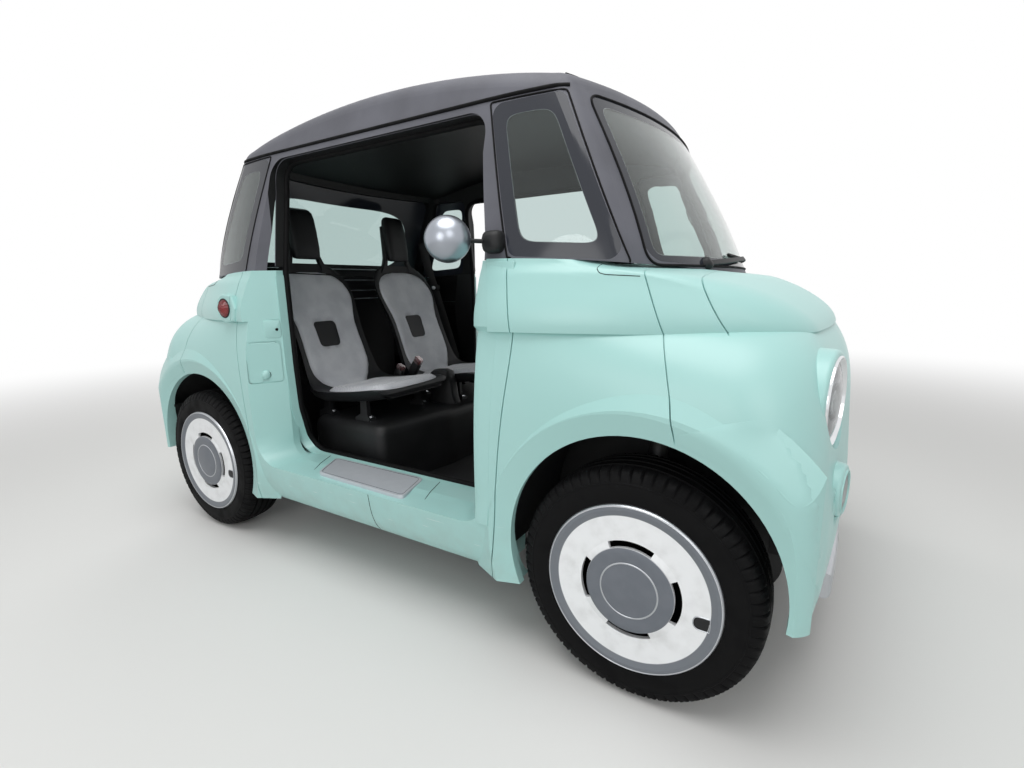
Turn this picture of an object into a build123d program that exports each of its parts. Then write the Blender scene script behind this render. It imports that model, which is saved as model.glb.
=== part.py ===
from build123d import *
import math
import os

os.makedirs("parts", exist_ok=True)

# Two-seat open-sided electric microcar. Millimetres, +X forward, +Y left, +Z up.
# The origin is on the ground under the middle of the car.

# Overall sizes
length = 2535.0
width = 1396.0
height = 1530.0
wheelbase = 1728.0
track = 1210.0

# Tyres 155/65 R14 and their wheels
tyre_radius = 278.5
tyre_width = 155.0
bead_radius = 178.0
cover_radius = 198.0
cover_stand_out = 4.5
cap_radius = 100.0
hub_radius = 62.0

# Body shell
panel = 30.0
door_half = 437.0
seal_plane = 585.0
seal_depth = 20.0
post_splay_foot = 50.0
post_splay_belt = 83.0
door_bottom = 345.0
door_top = 1368.0
straight_half = 430.0
roof_seam = 1390.0
belt_height = 1008.0
cowl_height = 970.0
cowl_reach = 960.0
arch_height = 322.0
arch_radius = 308.0
arch_band = 55.0
arch_chamfer = 18.0
sill_bottom = 200.0
fascia_bottom = 285.0
roof_long_radius = 2700.0
roof_cross_radius = 4200.0
glass = 5.0
seam_gap = 3.0
groove_depth = 6.0

# Wheel wells
well_radius = 325.0
well_inner = 372.0
rear_well_inner = 438.0
liner = 8.0

# Front suspension and steering
kingpin_low_y = 560.0
kingpin_low_z = 178.0
kingpin_top_y = 455.0
kingpin_top_z = 640.0
fit_gap = 0.3
steer_arm = 120.0
rack_z = 230.0

half_length = length / 2
half_width = width / 2
axle_x = wheelbase / 2
wheel_y = track / 2

# Plan stations of the lower body and of the clamshell above its crease:
# height, nose inset, side inset, side radius, end radius, corner radius
lower_stations = [
    (sill_bottom, 50, 52, 20000, 5500, 50),
    (240, 36, 26, 20000, 5500, 60),
    (320, 16, 8, 20000, 5000, 70),
    (470, 0, 1, 20000, 4000, 105),
    (620, 8, 3, 20000, 3200, 150),
    (740, 20, 12, 9000, 2700, 175),
    (800, 42, 20, 3600, 2600, 175),
    (848, 74, 28, 1600, 2500, 180),
]
cavity_top = (874, 74, 28, 1600, 2500, 180)
clamshell_stations = [
    (838, 59, 10, 1500, 2500, 190),
    (858, 68, 8, 1500, 2400, 190),
    (900, 112, 14, 1450, 2200, 180),
    (944, 190, 28, 1400, 1700, 150),
    (978, 320, 40, 1300, 1300, 110),
    (1012, 420, 50, 1300, 1200, 90),
]
greenhouse_stations = [
    (950, 298, 52, 1245, 1206, 60),
    (1180, 400, 93, 1350, 1300, 60),
    (roof_seam, 520, 146, 1500, 1400, 60),
    (height + 20, 618, 184, 1600, 1500, 60),
]


def arc_midpoint(centre, radius, start, end):
    """Point of an arc midway between two of its points."""
    return centre + ((start - centre) + (end - centre)).normalized() * radius


def plan_section(station, inset=0.0):
    """Plan of the body at one height: straight sides, tapering arcs and bowed ends."""
    z, nose_in, side_in, side_radius, end_radius, corner_radius = station
    reach = half_length - nose_in - inset
    half = half_width - side_in - inset
    side_r = side_radius - inset
    end_r = end_radius - inset
    side_centre = Vector(straight_half, half - side_r)
    end_centre = Vector(reach - end_r, 0)
    between = end_centre - side_centre
    along = (side_r**2 - end_r**2 + between.length**2) / (2 * between.length)
    across = math.sqrt(side_r**2 - along**2)
    heading = between.normalized()
    square = Vector(-heading.Y, heading.X)
    if square.Y < 0:
        square = square * -1
    corner = side_centre + heading * along + square * across
    bend = arc_midpoint(side_centre, side_r, Vector(straight_half, half), corner)
    with BuildSketch(Plane.XY.offset(z)) as section:
        with BuildLine():
            Line((-straight_half, half), (straight_half, half))
            ThreePointArc((straight_half, half), (bend.X, bend.Y), (corner.X, corner.Y))
            ThreePointArc((corner.X, corner.Y), (reach, 0), (corner.X, -corner.Y))
            ThreePointArc((corner.X, -corner.Y), (bend.X, -bend.Y), (straight_half, -half))
            Line((straight_half, -half), (-straight_half, -half))
            ThreePointArc((-straight_half, -half), (-bend.X, -bend.Y), (-corner.X, -corner.Y))
            ThreePointArc((-corner.X, -corner.Y), (-reach, 0), (-corner.X, corner.Y))
            ThreePointArc((-corner.X, corner.Y), (-bend.X, bend.Y), (-straight_half, half))
        make_face()
        ends = [v for v in section.vertices() if abs(v.X) > straight_half + 1]
        fillet(ends, corner_radius - inset)
    return section.sketch


def station_loft(stations, inset=0.0):
    """Solid through a list of plan stations, inset all round by a wall."""
    sections = [plan_section(station, inset).face() for station in stations]
    with BuildPart() as body:
        loft(sections)
    return body.part


def side_prism(points, low=-width, high=width, radius=0.0):
    """Prism across the car from a side-view outline, between two Y values."""
    with BuildPart() as prism:
        with BuildSketch(Plane.XZ.offset(-high)) as outline:
            with BuildLine():
                Polyline(*points, close=True)
            make_face()
            if radius:
                fillet(outline.vertices(), radius)
        extrude(amount=high - low)
    return prism.part


def both_sides(part):
    """A piece and its mirror image across the car, as two solids."""
    return Compound([part, part.mirror(Plane.XZ)])


def write(part, name):
    """Label a finished piece and write it."""
    part.label = name
    export_step(part, "parts/" + name + ".step")


# Main volumes
lower_outer = station_loft(lower_stations)
lower_cavity = station_loft(lower_stations + [cavity_top], panel)
clamshell_outer = station_loft(clamshell_stations)
clamshell_cavity = station_loft(clamshell_stations[1:], panel)
greenhouse_outer = station_loft(greenhouse_stations)
greenhouse_inner = station_loft(greenhouse_stations, panel)
glass_inner = station_loft(greenhouse_stations, glass)


def roof_dome(drop=0.0):
    """Everything under the crowned roof skin, lowered by a wall."""
    with BuildPart() as dome:
        with BuildSketch(Plane.YZ):
            with BuildLine():
                edge = half_width
                sag = roof_cross_radius - math.sqrt(roof_cross_radius**2 - edge**2)
                crown = height - drop
                arc = ThreePointArc((-edge, crown - sag), (0, crown), (edge, crown - sag))
                foot = height - roof_long_radius + 1
                Polyline(arc @ 1, (edge, foot), (-edge, foot), arc @ 0)
            make_face()
        revolve(axis=Axis((0, 0, height - roof_long_radius), (0, 1, 0)))
    return dome.part


# Belt line: flat over the doors, then falling in an arc to the cowl
def belt_prism(top):
    """Everything under the belt line, or over it when top is true."""
    fall = belt_height - cowl_height
    run = cowl_reach - straight_half
    radius = (fall**2 + run**2) / (2 * fall)
    swing = math.asin(run / radius) / 2
    bend_x = straight_half + radius * math.sin(swing)
    bend_z = belt_height - radius * (1 - math.cos(swing))
    far = 1.15 * half_length
    slope = run / (radius - fall)
    end_z = cowl_height - (far - cowl_reach) * slope
    limit = height + 100 if top else 0
    with BuildPart() as prism:
        with BuildSketch(Plane.XZ.offset(-width)):
            with BuildLine():
                Line((-straight_half, belt_height), (straight_half, belt_height))
                ThreePointArc((straight_half, belt_height), (bend_x, bend_z), (cowl_reach, cowl_height))
                Polyline((cowl_reach, cowl_height), (far, end_z), (far, limit), (-far, limit),
                         (-far, end_z), (-cowl_reach, cowl_height))
                ThreePointArc((-cowl_reach, cowl_height), (-bend_x, bend_z), (-straight_half, belt_height))
            make_face()
        extrude(amount=2 * width)
    return prism.part


above_belt = belt_prism(True)
below_belt = belt_prism(False)


def across_disc(x, z, radius, low, high):
    """Cylinder across the car at a side-view point, between two Y values."""
    with BuildPart() as disc:
        with BuildSketch(Plane.XZ.offset(-high)):
            with Locations((x, z)):
                Circle(radius)
        extrude(amount=high - low)
    return disc.part


def across_cone(x, z, low_radius, high_radius, low, high):
    """Cone across the car at a side-view point, with its radius at each Y value."""
    with BuildPart() as cone:
        with BuildSketch(Plane.XZ.offset(-low)):
            with Locations((x, z)):
                Circle(low_radius)
        with BuildSketch(Plane.XZ.offset(-high)):
            with Locations((x, z)):
                Circle(high_radius)
        loft(ruled=True)
    return cone.part


def box(x0, x1, y0, y1, z0, z1):
    """Box between two corners."""
    with BuildPart() as block:
        with Locations(((x0 + x1) / 2, (y0 + y1) / 2, (z0 + z1) / 2)):
            Box(x1 - x0, y1 - y0, z1 - z0)
    return block.part


def end_region(seam_points, far):
    """Prism across the car on one side of a curved side-view seam."""
    with BuildPart() as region:
        with BuildSketch(Plane.XZ.offset(-width)):
            with BuildLine():
                line = Spline(*seam_points)
                Polyline(line @ 1, (far, (line @ 1).Y), (far, (line @ 0).Y), line @ 0)
            make_face()
        extrude(amount=2 * width)
    return region.part


# Arches: a flare that blends into the side, a chamfered band and a round opening,
# with more room below the axle for the tyre when it steers
flare_plan = (sill_bottom, 12, 0, 60000, 5500, 76)
flare_depth = 40.0
flare_slope = 2.0
tyre_room = 303.0


def arches():
    """Flares to add and openings to cut, for all four wheels."""
    envelope = extrude(plan_section(flare_plan), amount=cowl_height - sill_bottom)
    lip = half_width - arch_chamfer
    outer = arch_radius + arch_band
    flare = across_cone(axle_x, arch_height, outer + flare_depth * flare_slope, outer,
                        half_width - flare_depth, half_width) & envelope
    hole = across_disc(axle_x, arch_height, arch_radius, well_inner, half_width + 2)
    hole = hole + across_disc(axle_x, tyre_radius, tyre_room, well_inner, half_width - flare_depth)
    band = across_cone(axle_x, arch_height, arch_radius, outer + arch_band * 2 / arch_chamfer,
                       lip, half_width + 2)
    cut = hole + band
    flare = flare + flare.mirror(Plane.XZ)
    cut = cut + cut.mirror(Plane.XZ)
    return flare + flare.mirror(Plane.YZ), cut + cut.mirror(Plane.YZ)


flares, arch_cut = arches()


def door_outline(y, foot, belt, head, low, high, radius):
    """Side-view outline of the door opening in one plane, with rounded corners."""
    with BuildSketch(Plane.XZ.offset(-y)) as outline:
        with BuildLine():
            Polyline((-foot, low), (foot, low), (belt, belt_height), (head, high), (-head, high),
                     (-belt, belt_height), close=True)
        make_face()
        fillet([v for v in outline.vertices() if abs(v.Z - belt_height) > 1], radius)
    return outline.sketch.face()


def door_opening():
    """Door opening of one side: a straight tunnel that splays out through the posts."""
    inner = door_outline(-seal_plane, door_half, door_half, door_half, door_bottom, door_top, 60)
    outer = door_outline(-half_width, door_half + post_splay_foot, door_half + post_splay_belt,
                         door_half + 60, door_bottom - 10, door_top + 12, 90)
    splay = Solid.make_loft([inner.outer_wire(), outer.outer_wire()], True)
    tunnel = extrude(inner, amount=seal_plane, dir=(0, 1, 0))
    return splay + tunnel


# Lamps: centres and sizes of the front right ones, which stand in housings of the fascia
headlamp_centre = (1209.0, -470.0, 700.0)
headlamp_radius = 95.0
fog_centre = (1241.0, -490.0, 520.0)
fog_radius = 47.0
lamp_turn = -10.0


def turned_lamp(points, centre, turn):
    """Solid of revolution about a lamp's axis from radius and forward points."""
    with BuildPart() as turned:
        with BuildSketch(Plane.XZ):
            with BuildLine():
                for line in points:
                    if len(line) == 2:
                        Line(*line)
                    else:
                        ThreePointArc(*line)
            make_face()
        revolve(axis=Axis.Z)
    placed = turned.part.moved(Location(centre, (0, 90, 0)))
    return placed.rotate(Axis(centre, (0, 0, 1)), turn)


def lamp_housing(centre, radius, wall, spread, depth):
    """Trumpet-shaped housing that grows out of the fascia round a lamp."""
    lip = radius + wall
    back = lip + spread
    outline = [((0, -depth), (back, -depth)),
               ((back, -depth), (lip + spread * 0.25, -depth * 0.45), (lip, -4)),
               ((lip, -4), (lip - wall * 0.3, 3), (lip - wall * 0.75, 5)),
               ((lip - wall * 0.75, 5), (0, 5)),
               ((0, 5), (0, -depth))]
    return turned_lamp(outline, centre, lamp_turn)


def lamp_pocket(centre, radius, depth):
    """Round pocket for a lamp."""
    outline = [((0, -depth), (radius, -depth)), ((radius, -depth), (radius, 60)),
               ((radius, 60), (0, 60)), ((0, 60), (0, -depth))]
    return turned_lamp(outline, centre, lamp_turn)


def dome_arc(radius, low, high):
    """Three points of a spherical cap's profile, from its edge to its top on the axis."""
    rise = high - low
    sphere = (radius**2 + rise**2) / (2 * rise)
    half_angle = math.asin(radius / sphere) / 2
    middle = (sphere * math.sin(half_angle), high - sphere * (1 - math.cos(half_angle)))
    return ((radius, low), middle, (0, high))


def lamp_unit(centre, radius, depth, crown):
    """Lamp with a raised rim and a domed lens."""
    rim = radius * 0.1
    outline = [((0, -depth), (radius, -depth)), ((radius, -depth), (radius, 6)),
               ((radius, 6), (radius - rim * 0.5, 10), (radius - rim, 6)),
               ((radius - rim, 6), (radius - rim, 2)),
               dome_arc(radius - rim, 2, crown),
               ((0, crown), (0, -depth))]
    return turned_lamp(outline, centre, lamp_turn)


headlamp_depth = 34.0
fog_depth = 24.0
housings = (lamp_housing(headlamp_centre, headlamp_radius, 12, 26, 150)
            + lamp_housing(fog_centre, fog_radius, 10, 50, 110))
housings = housings & box(0, length, -width, width, arch_height, lower_stations[-1][0])
pockets = (lamp_pocket(headlamp_centre, headlamp_radius + fit_gap, headlamp_depth)
           + lamp_pocket(fog_centre, fog_radius + fit_gap, fog_depth))
housings = housings + housings.mirror(Plane.XZ)
pockets = pockets + pockets.mirror(Plane.XZ)
housings = housings + housings.mirror(Plane.YZ)
pockets = pockets + pockets.mirror(Plane.YZ)

# D-shaped pad round each rear side lamp
side_lamp_centre = (-595.0, 883.0)
side_lamp_radius = 30.0
pad_x = (-645.0, -533.0)
pad_z = (833.0, 931.0)
pad_root = 660.0
pad_face = 691.0
with BuildPart() as lamp_pad:
    with BuildSketch(Plane.XZ.offset(pad_root)):
        with BuildLine():
            middle_z = (pad_z[0] + pad_z[1]) / 2
            bow_x = pad_x[0] + 52
            ThreePointArc((bow_x, pad_z[0]), (pad_x[0], middle_z), (bow_x, pad_z[1]))
            Polyline((bow_x, pad_z[1]), (pad_x[1] - 14, pad_z[1] - 6), (pad_x[1], middle_z),
                     (pad_x[1] - 14, pad_z[0] + 6), (bow_x, pad_z[0]))
        make_face()
    extrude(amount=pad_face - pad_root)
    fillet(lamp_pad.faces().sort_by(Axis.Y)[0].edges(), 6)
lamp_pads = lamp_pad.part + lamp_pad.part.mirror(Plane.XZ)

door_right = door_opening()
door_cut = door_right + door_right.mirror(Plane.XZ)
under_nose = box(axle_x, length, -width, width, 0, fascia_bottom)
below_fascias = under_nose + under_nose.mirror(Plane.YZ)

body_outer = lower_outer + (clamshell_outer & below_belt) + flares + housings + lamp_pads
body_shell = body_outer - lower_cavity - clamshell_cavity - arch_cut - below_fascias - pockets
groove_core = station_loft(lower_stations, groove_depth)
groove_core = groove_core + (station_loft(clamshell_stations, groove_depth)
                             & below_belt.moved(Location((0, 0, -groove_depth))))

# Seams seen from the side, as points from the belt down
post_seam = [(536, 1060), (537, 1005), (562, 856), (548, 678), (512, 322), (500, 150)]
fascia_seam = [(820, 1060), (839, 990), (892, 853), (947, 627), (960, 420), (960, 150)]
bonnet_seam = [(915, 1060), (940, 985), (1018, 838)]

beyond_post = end_region(post_seam, length)
beyond_fascia = end_region(fascia_seam, length)
beyond_bonnet = end_region(bonnet_seam, length)
crease = clamshell_stations[0][0]
above_crease = box(0, length, -width, width, crease, height)



def groove(region):
    """Shallow groove in the skin along one side of a seam."""
    return region - region.moved(Location((seam_gap, 0, 0))) - groove_core


front_shell = body_shell & beyond_post
bonnet = (front_shell & beyond_bonnet & above_crease) - groove(beyond_bonnet)
fascia = (front_shell & beyond_fascia) - (beyond_bonnet & above_crease) - groove(beyond_fascia)
quarters = front_shell - beyond_fascia - groove(beyond_post)
write(bonnet, "bonnet")
write(bonnet.mirror(Plane.YZ), "tailgate")
write(fascia, "front_fascia")
write(fascia.mirror(Plane.YZ), "rear_fascia")
rear_pads = (lamp_pads & beyond_post.mirror(Plane.YZ)) - groove(beyond_post).mirror(Plane.YZ)
rear_quarters = quarters.mirror(Plane.YZ) + rear_pads
write(Compound(list(quarters.solids()) + list(rear_quarters.solids())), "quarter_panels")

# Door surrounds: two posts and a sill on each side, in one piece a side
post_inner = 560.0
sill_inner = 520.0
middle = side_prism([(-600, 100), (600, 100), (600, height), (-600, height)])
middle = middle - beyond_post - beyond_post.mirror(Plane.YZ)
post_zone = box(-600, 600, -width, -post_inner, sill_bottom, height)
sill_profile = [(-half_width - 20, sill_bottom), (-sill_inner, sill_bottom), (-sill_inner, door_bottom),
                (-600, door_bottom), (-662, door_bottom - 9), (-half_width - 20, door_bottom - 54)]
with BuildPart() as sill_block:
    with BuildSketch(Plane.YZ.offset(-600)):
        with BuildLine():
            Polyline(*sill_profile, close=True)
        make_face()
    extrude(amount=1200)
posts = (body_outer & middle & post_zone) - door_cut
sills = body_outer & middle & sill_block.part
frame_right = posts + sills - arch_cut

# Charge flap in a pocket on the splayed face of the right rear post, hinged at its top
flap_z = 692.0
flap_width = 108.0
flap_height = 135.0
flap_thickness = 3.0
flap_share = (flap_z - door_bottom + 10) / (belt_height - door_bottom + 10)
flap_splay = post_splay_foot + (post_splay_belt - post_splay_foot) * flap_share
splay_in = Vector(-door_half, -seal_plane, flap_z)
splay_out = Vector(-door_half - flap_splay, -half_width, flap_z)
splay_run = (splay_in - splay_out).normalized()
flap_plane = Plane(origin=(splay_in + splay_out) * 0.5, x_dir=splay_run, z_dir=(splay_run.Y, -splay_run.X, 0))
barrel_radius = 3.0
barrel_length = 80.0
barrel_room = 1.0
swing_room = 6.0
barrel_z = flap_height / 2 + 1
barrel_start = flap_plane.origin + flap_plane.y_dir * barrel_z - flap_plane.z_dir * barrel_radius


def hinge_barrel(radius, length_along):
    """Round bar on the flap's hinge axis."""
    with BuildPart() as barrel:
        with BuildSketch(Plane(origin=barrel_start - flap_plane.x_dir * (length_along / 2),
                               z_dir=flap_plane.x_dir)):
            Circle(radius)
        extrude(amount=length_along)
    return barrel.part


with BuildPart() as flap_pocket:
    with BuildSketch(flap_plane.offset(-flap_thickness - fit_gap)):
        with Locations((0, swing_room / 2)):
            RectangleRounded(flap_width + 2 * seam_gap, flap_height + 2 * seam_gap + swing_room, 12)
    extrude(amount=40)
    add(hinge_barrel(barrel_radius + barrel_room, barrel_length + 2 * barrel_room))
with BuildPart() as charge_flap:
    with BuildSketch(flap_plane.offset(-flap_thickness)):
        RectangleRounded(flap_width, flap_height, 10)
        with Locations((0, -flap_height / 2)):
            Circle(14, mode=Mode.SUBTRACT)
    extrude(amount=flap_thickness)
    add(hinge_barrel(barrel_radius, barrel_length))
write(charge_flap.part, "charge_flap")
frame_left = frame_right.mirror(Plane.XZ)
write(Compound([frame_right - flap_pocket.part, frame_left]), "door_surrounds")

# Greenhouse: frame, roof and glass
skin = greenhouse_outer & roof_dome() & above_belt
skin = fillet([e for e in skin.edges() if e.center().Z > roof_seam + 20], 60)
cabin = greenhouse_inner & roof_dome(panel)
shell = skin - cabin

roof_zone = box(-length, length, -width, width, roof_seam, 2 * height)
roof = shell & roof_zone
frame = (shell - roof_zone) - door_cut

# Raised soft top let into the roof
soft_top_rise = 10.0
soft_top_length = 1000.0
soft_top_width = 860.0
with BuildPart() as soft_zone:
    with BuildSketch(Plane.XY.offset(roof_seam + 20)):
        RectangleRounded(soft_top_length, soft_top_width, 90)
    extrude(amount=200)
soft_top = (roof_dome() & soft_zone.part) - roof_dome(glass)
write(roof - soft_top, "roof")
write(soft_top, "soft_top")

# Quarter windows: side-view outline of the front one, on both sides and both ends
quarter_outline = [(536, 1012), (806, 994), (634, 1376), (446, 1376)]
quarter_zone = side_prism(quarter_outline, -width, -300, 26)
quarter_zones = [quarter_zone, quarter_zone.mirror(Plane.XZ)]
quarter_zones += [zone.mirror(Plane.YZ) for zone in quarter_zones]

# Windscreen and rear window, outlined from the front
screen_foot = 528.0
screen_head = 486.0
with BuildPart() as screen_zone:
    with BuildSketch(Plane.YZ.offset(500)) as screen_outline:
        with BuildLine():
            sill_line = ThreePointArc((-screen_foot, 994), (0, 982), (screen_foot, 994))
            Polyline(sill_line @ 1, (screen_head, 1378), (-screen_head, 1378), sill_line @ 0)
        make_face()
        fillet(screen_outline.vertices(), 45)
    extrude(amount=600)

pane_skin = (greenhouse_outer & roof_dome() & above_belt) - glass_inner
windscreen = pane_skin & screen_zone.part
quarter_panes = [pane_skin & zone for zone in quarter_zones]
for zone in quarter_zones + [screen_zone.part, screen_zone.part.mirror(Plane.YZ)]:
    frame = frame - zone
write(frame, "pillar_frame")
write(windscreen, "windscreen")
write(windscreen.mirror(Plane.YZ), "rear_window")
write(Compound([solid for pane in quarter_panes for solid in pane.solids()]), "quarter_windows")

# Rubber seals round the door openings
with BuildPart() as seal:
    with BuildSketch(Plane.XZ.offset(post_inner)):
        add(door_outline(-post_inner, door_half, door_half, door_half, door_bottom, door_top, 60))
        offset(amount=-12, mode=Mode.SUBTRACT)
    extrude(amount=seal_depth)
write(both_sides(seal.part), "door_seals")

# Wheels
outer_face = tyre_width / 2


def wheel_profile(points):
    """Solid of revolution about the wheel's axle from radius and outboard points."""
    with BuildPart() as turned:
        with BuildSketch(Plane.XY):
            with BuildLine():
                Polyline(*[(radius, -out) for radius, out in points], close=True)
            make_face()
        revolve(axis=Axis.Y)
    return turned.part


def tyre():
    """Tyre of a right-hand wheel, centred on its own middle."""
    side = outer_face
    crown = tyre_radius
    with BuildPart() as body:
        with BuildSketch(Plane.XY):
            with BuildLine():
                Line((crown, -side * 0.66), (crown, side * 0.66))
                ThreePointArc((crown, side * 0.66), (crown - 8, side * 0.88), (crown - 20, side * 0.94))
                ThreePointArc((crown - 20, side * 0.94), (crown - 48, side), (bead_radius, side * 0.8))
                Line((bead_radius, side * 0.8), (bead_radius, -side * 0.8))
                ThreePointArc((bead_radius, -side * 0.8), (crown - 48, -side), (crown - 20, -side * 0.94))
                ThreePointArc((crown - 20, -side * 0.94), (crown - 8, -side * 0.88), (crown, -side * 0.66))
            make_face()
        revolve(axis=Axis.Y)
    return body.part


spindle_radius = 20.0
spindle_fit = 0.05
hub_face = -30.0
rim_wall = 6.0


def rim_with_cover():
    """Pressed steel rim and its full-face cover, of a right-hand wheel."""
    cover_face = outer_face + cover_stand_out
    barrel = wheel_profile([(bead_radius, -outer_face * 0.84), (bead_radius, outer_face * 0.84),
                            (bead_radius - rim_wall, outer_face * 0.84), (bead_radius - rim_wall, -outer_face * 0.84)])
    disc = wheel_profile([(spindle_radius + spindle_fit, hub_face), (hub_radius, hub_face), (hub_radius, 0),
                          (bead_radius - rim_wall, 10), (bead_radius - rim_wall, 22),
                          (hub_radius, 14), (spindle_radius + spindle_fit, 14)])
    cover = wheel_profile([(0, cover_face - 10), (cap_radius, cover_face - 10), (cap_radius + 14, cover_face - 16),
                           (cover_radius - 30, cover_face - 12), (bead_radius - rim_wall, outer_face * 0.84 - 10),
                           (bead_radius, outer_face * 0.84 - 10), (bead_radius, outer_face * 0.84 + 1),
                           (cover_radius, cover_face - 8), (cover_radius, cover_face - 4),
                           (cover_radius - 4, cover_face - 1), (cover_radius - 12, cover_face - 1),
                           (cover_radius - 26, cover_face - 5), (cap_radius + 15, cover_face - 6),
                           (cap_radius, cover_face - 3), (cap_radius - 4, cover_face), (0, cover_face)])
    slots = None
    for quarter in range(4):
        with BuildPart() as slot:
            with BuildSketch(Plane.XZ):
                with BuildLine():
                    start = 90 * quarter - 27
                    inner = CenterArc((0, 0), cap_radius, start, 54)
                    outer = CenterArc((0, 0), cap_radius + 15, start, 54)
                    Line(inner @ 0, outer @ 0)
                    Line(inner @ 1, outer @ 1)
                make_face()
            extrude(amount=200)
        slots = slot.part if slots is None else slots + slot.part
    return barrel + disc + (cover - slots)


tyre_part = tyre()
rim_part = rim_with_cover()
for end, x in (("front", axle_x), ("rear", -axle_x)):
    for side_name, turn in (("right", 0), ("left", 180)):
        y = -wheel_y if side_name == "right" else wheel_y
        place = Location((x, y, tyre_radius), (0, 0, turn))
        write(tyre_part.moved(place), "tyre_" + end + "_" + side_name)
        write(rim_part.moved(place), "wheel_" + end + "_" + side_name)

# Steering axis of the right front wheel, and what turns about it
kingpin_low = Vector(axle_x, -kingpin_low_y, kingpin_low_z)
kingpin_top = Vector(axle_x, -kingpin_top_y, kingpin_top_z)
kingpin = (kingpin_top - kingpin_low).normalized()
axle_share = (tyre_radius - kingpin_low_z) / (kingpin_top_z - kingpin_low_z)
joint_centre = kingpin_low + (kingpin_top - kingpin_low) * axle_share
ball_radius = 30.0
carrier_radius = 50.0
carrier_inner = -joint_centre.Y - 14
spindle_end = wheel_y + 12


def along_kingpin(start_z, end_z, start_radius, end_radius):
    """Round bar on the kingpin axis between two heights."""
    scale_z = 1 / kingpin.Z
    start = kingpin_low + kingpin * ((start_z - kingpin_low_z) * scale_z)
    plane = Plane(origin=start, z_dir=kingpin)
    with BuildPart() as bar:
        with BuildSketch(plane):
            Circle(start_radius)
        with BuildSketch(plane.offset((end_z - start_z) * scale_z)):
            Circle(end_radius)
        loft(ruled=True)
    return bar.part


def knuckle():
    """Right front knuckle: carrier with joint socket, spindle, strut and steering arm."""
    carrier = across_disc(axle_x, tyre_radius, carrier_radius, -wheel_y - hub_face + fit_gap, -carrier_inner)
    spindle = across_disc(axle_x, tyre_radius, spindle_radius, -spindle_end, -carrier_inner - 20)
    low_stub = along_kingpin(kingpin_low_z + fit_gap, tyre_radius - 20, 14, 20)
    strut = along_kingpin(tyre_radius + 20, kingpin_top_z - fit_gap, 24, 24)
    spring = along_kingpin(580, kingpin_top_z - 20, 46, 46)
    arm = box(axle_x - steer_arm - 12, axle_x, -carrier_inner, 12 - carrier_inner, rack_z - 8, rack_z + 8)
    whole = carrier + spindle + low_stub + strut + spring + arm
    with BuildPart() as socket:
        with Locations(joint_centre):
            Sphere(ball_radius + fit_gap)
    mouth = across_cone(joint_centre.X, tyre_radius, 4, 160, joint_centre.Y + 2, joint_centre.Y + 92)
    return whole - socket.part - (mouth & box(0, length, joint_centre.Y, 0, 0, tyre_radius + 60) )


knuckle_right = knuckle()
write(knuckle_right, "knuckle_right")
write(knuckle_right.mirror(Plane.XZ), "knuckle_left")


def bar(start, end, radius):
    """Round bar between two points."""
    start = Vector(*start)
    end = Vector(*end)
    with BuildPart() as rod:
        with BuildSketch(Plane(origin=start, z_dir=end - start)):
            Circle(radius)
        extrude(amount=(end - start).length)
    return rod.part


# Wheel liners, with a pad over each strut
cavity = lower_cavity + clamshell_cavity
liner_top = well_radius + liner
tower_radius = 46.0
damper_y = 482.0
damper_top = 636.0


def wheel_liner(inner, tower):
    """Liner of one right-hand wheel well, as if at the front, with its strut tower."""
    drum = across_disc(axle_x, arch_height, liner_top, -half_width, liner - inner)
    drum = drum - across_disc(axle_x, arch_height, well_radius, -half_width, -inner)
    drum = drum & box(0, length, -width, 0, fascia_bottom, height)
    drum = drum - box(axle_x - 250, axle_x + 250, -inner - 1, 0, 0, 400)
    return ((drum + tower) & cavity) - body_shell


front_tower = along_kingpin(kingpin_top_z, kingpin_top_z + 14, tower_radius, tower_radius)
rear_tower = bar((axle_x, -damper_y, damper_top + fit_gap), (axle_x, -damper_y, arch_height + liner_top), tower_radius)
front_liner = wheel_liner(well_inner, front_tower)
rear_liner = wheel_liner(rear_well_inner, rear_tower).mirror(Plane.YZ)
liners = [front_liner, rear_liner]
liners += [one.mirror(Plane.XZ) for one in liners]
write(Compound([solid for one in liners for solid in one.solids()]), "wheel_liners")

# Floor: a pan between the sills, with narrower pans between the wheels
floor_z = 205.0
floor_thickness = 20.0
floor_top = floor_z + floor_thickness
bulkhead_front = 700.0
bulkhead_rear = -850.0
bulkhead = 8.0
tunnel_half = well_inner - liner
with BuildPart() as floor_pan:
    with BuildSketch(Plane.XY.offset(floor_z)):
        Rectangle(1000, 2 * sill_inner)
        with Locations((bulkhead_front / 2, 0)):
            Rectangle(bulkhead_front, 2 * tunnel_half - 130)
        with Locations((-bulkhead_front / 2, 0)):
            Rectangle(-2 * bulkhead_rear - bulkhead_front, 2 * tunnel_half - 130)
    extrude(amount=floor_thickness)
write(floor_pan.part, "floor_pan")


def firewall(x, low, step, top):
    """Bulkhead across the cabin: narrow between the wheel wells, wide above them."""
    plate = box(x, x + bulkhead, -tunnel_half + 70, tunnel_half - 70, low, step)
    plate = plate + box(x, x + bulkhead, -tunnel_half, tunnel_half, 420, step)
    plate = plate + box(x, x + bulkhead, -width, width, step, top)
    return plate & cavity


walls = [firewall(bulkhead_front, floor_top, 668, 940), firewall(bulkhead_rear - bulkhead, floor_top, 668, 960)]
write(Compound([solid for wall in walls for solid in wall.solids()]), "bulkheads")

# Front subframe: ring, lower arms and steering rack housing
arm_root_y = 250.0
arm_root_z = 172.0
arm_spread = 110.0
rack_half = 190.0
rack_radius = 9.0
rod_gap = 6.0


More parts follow.
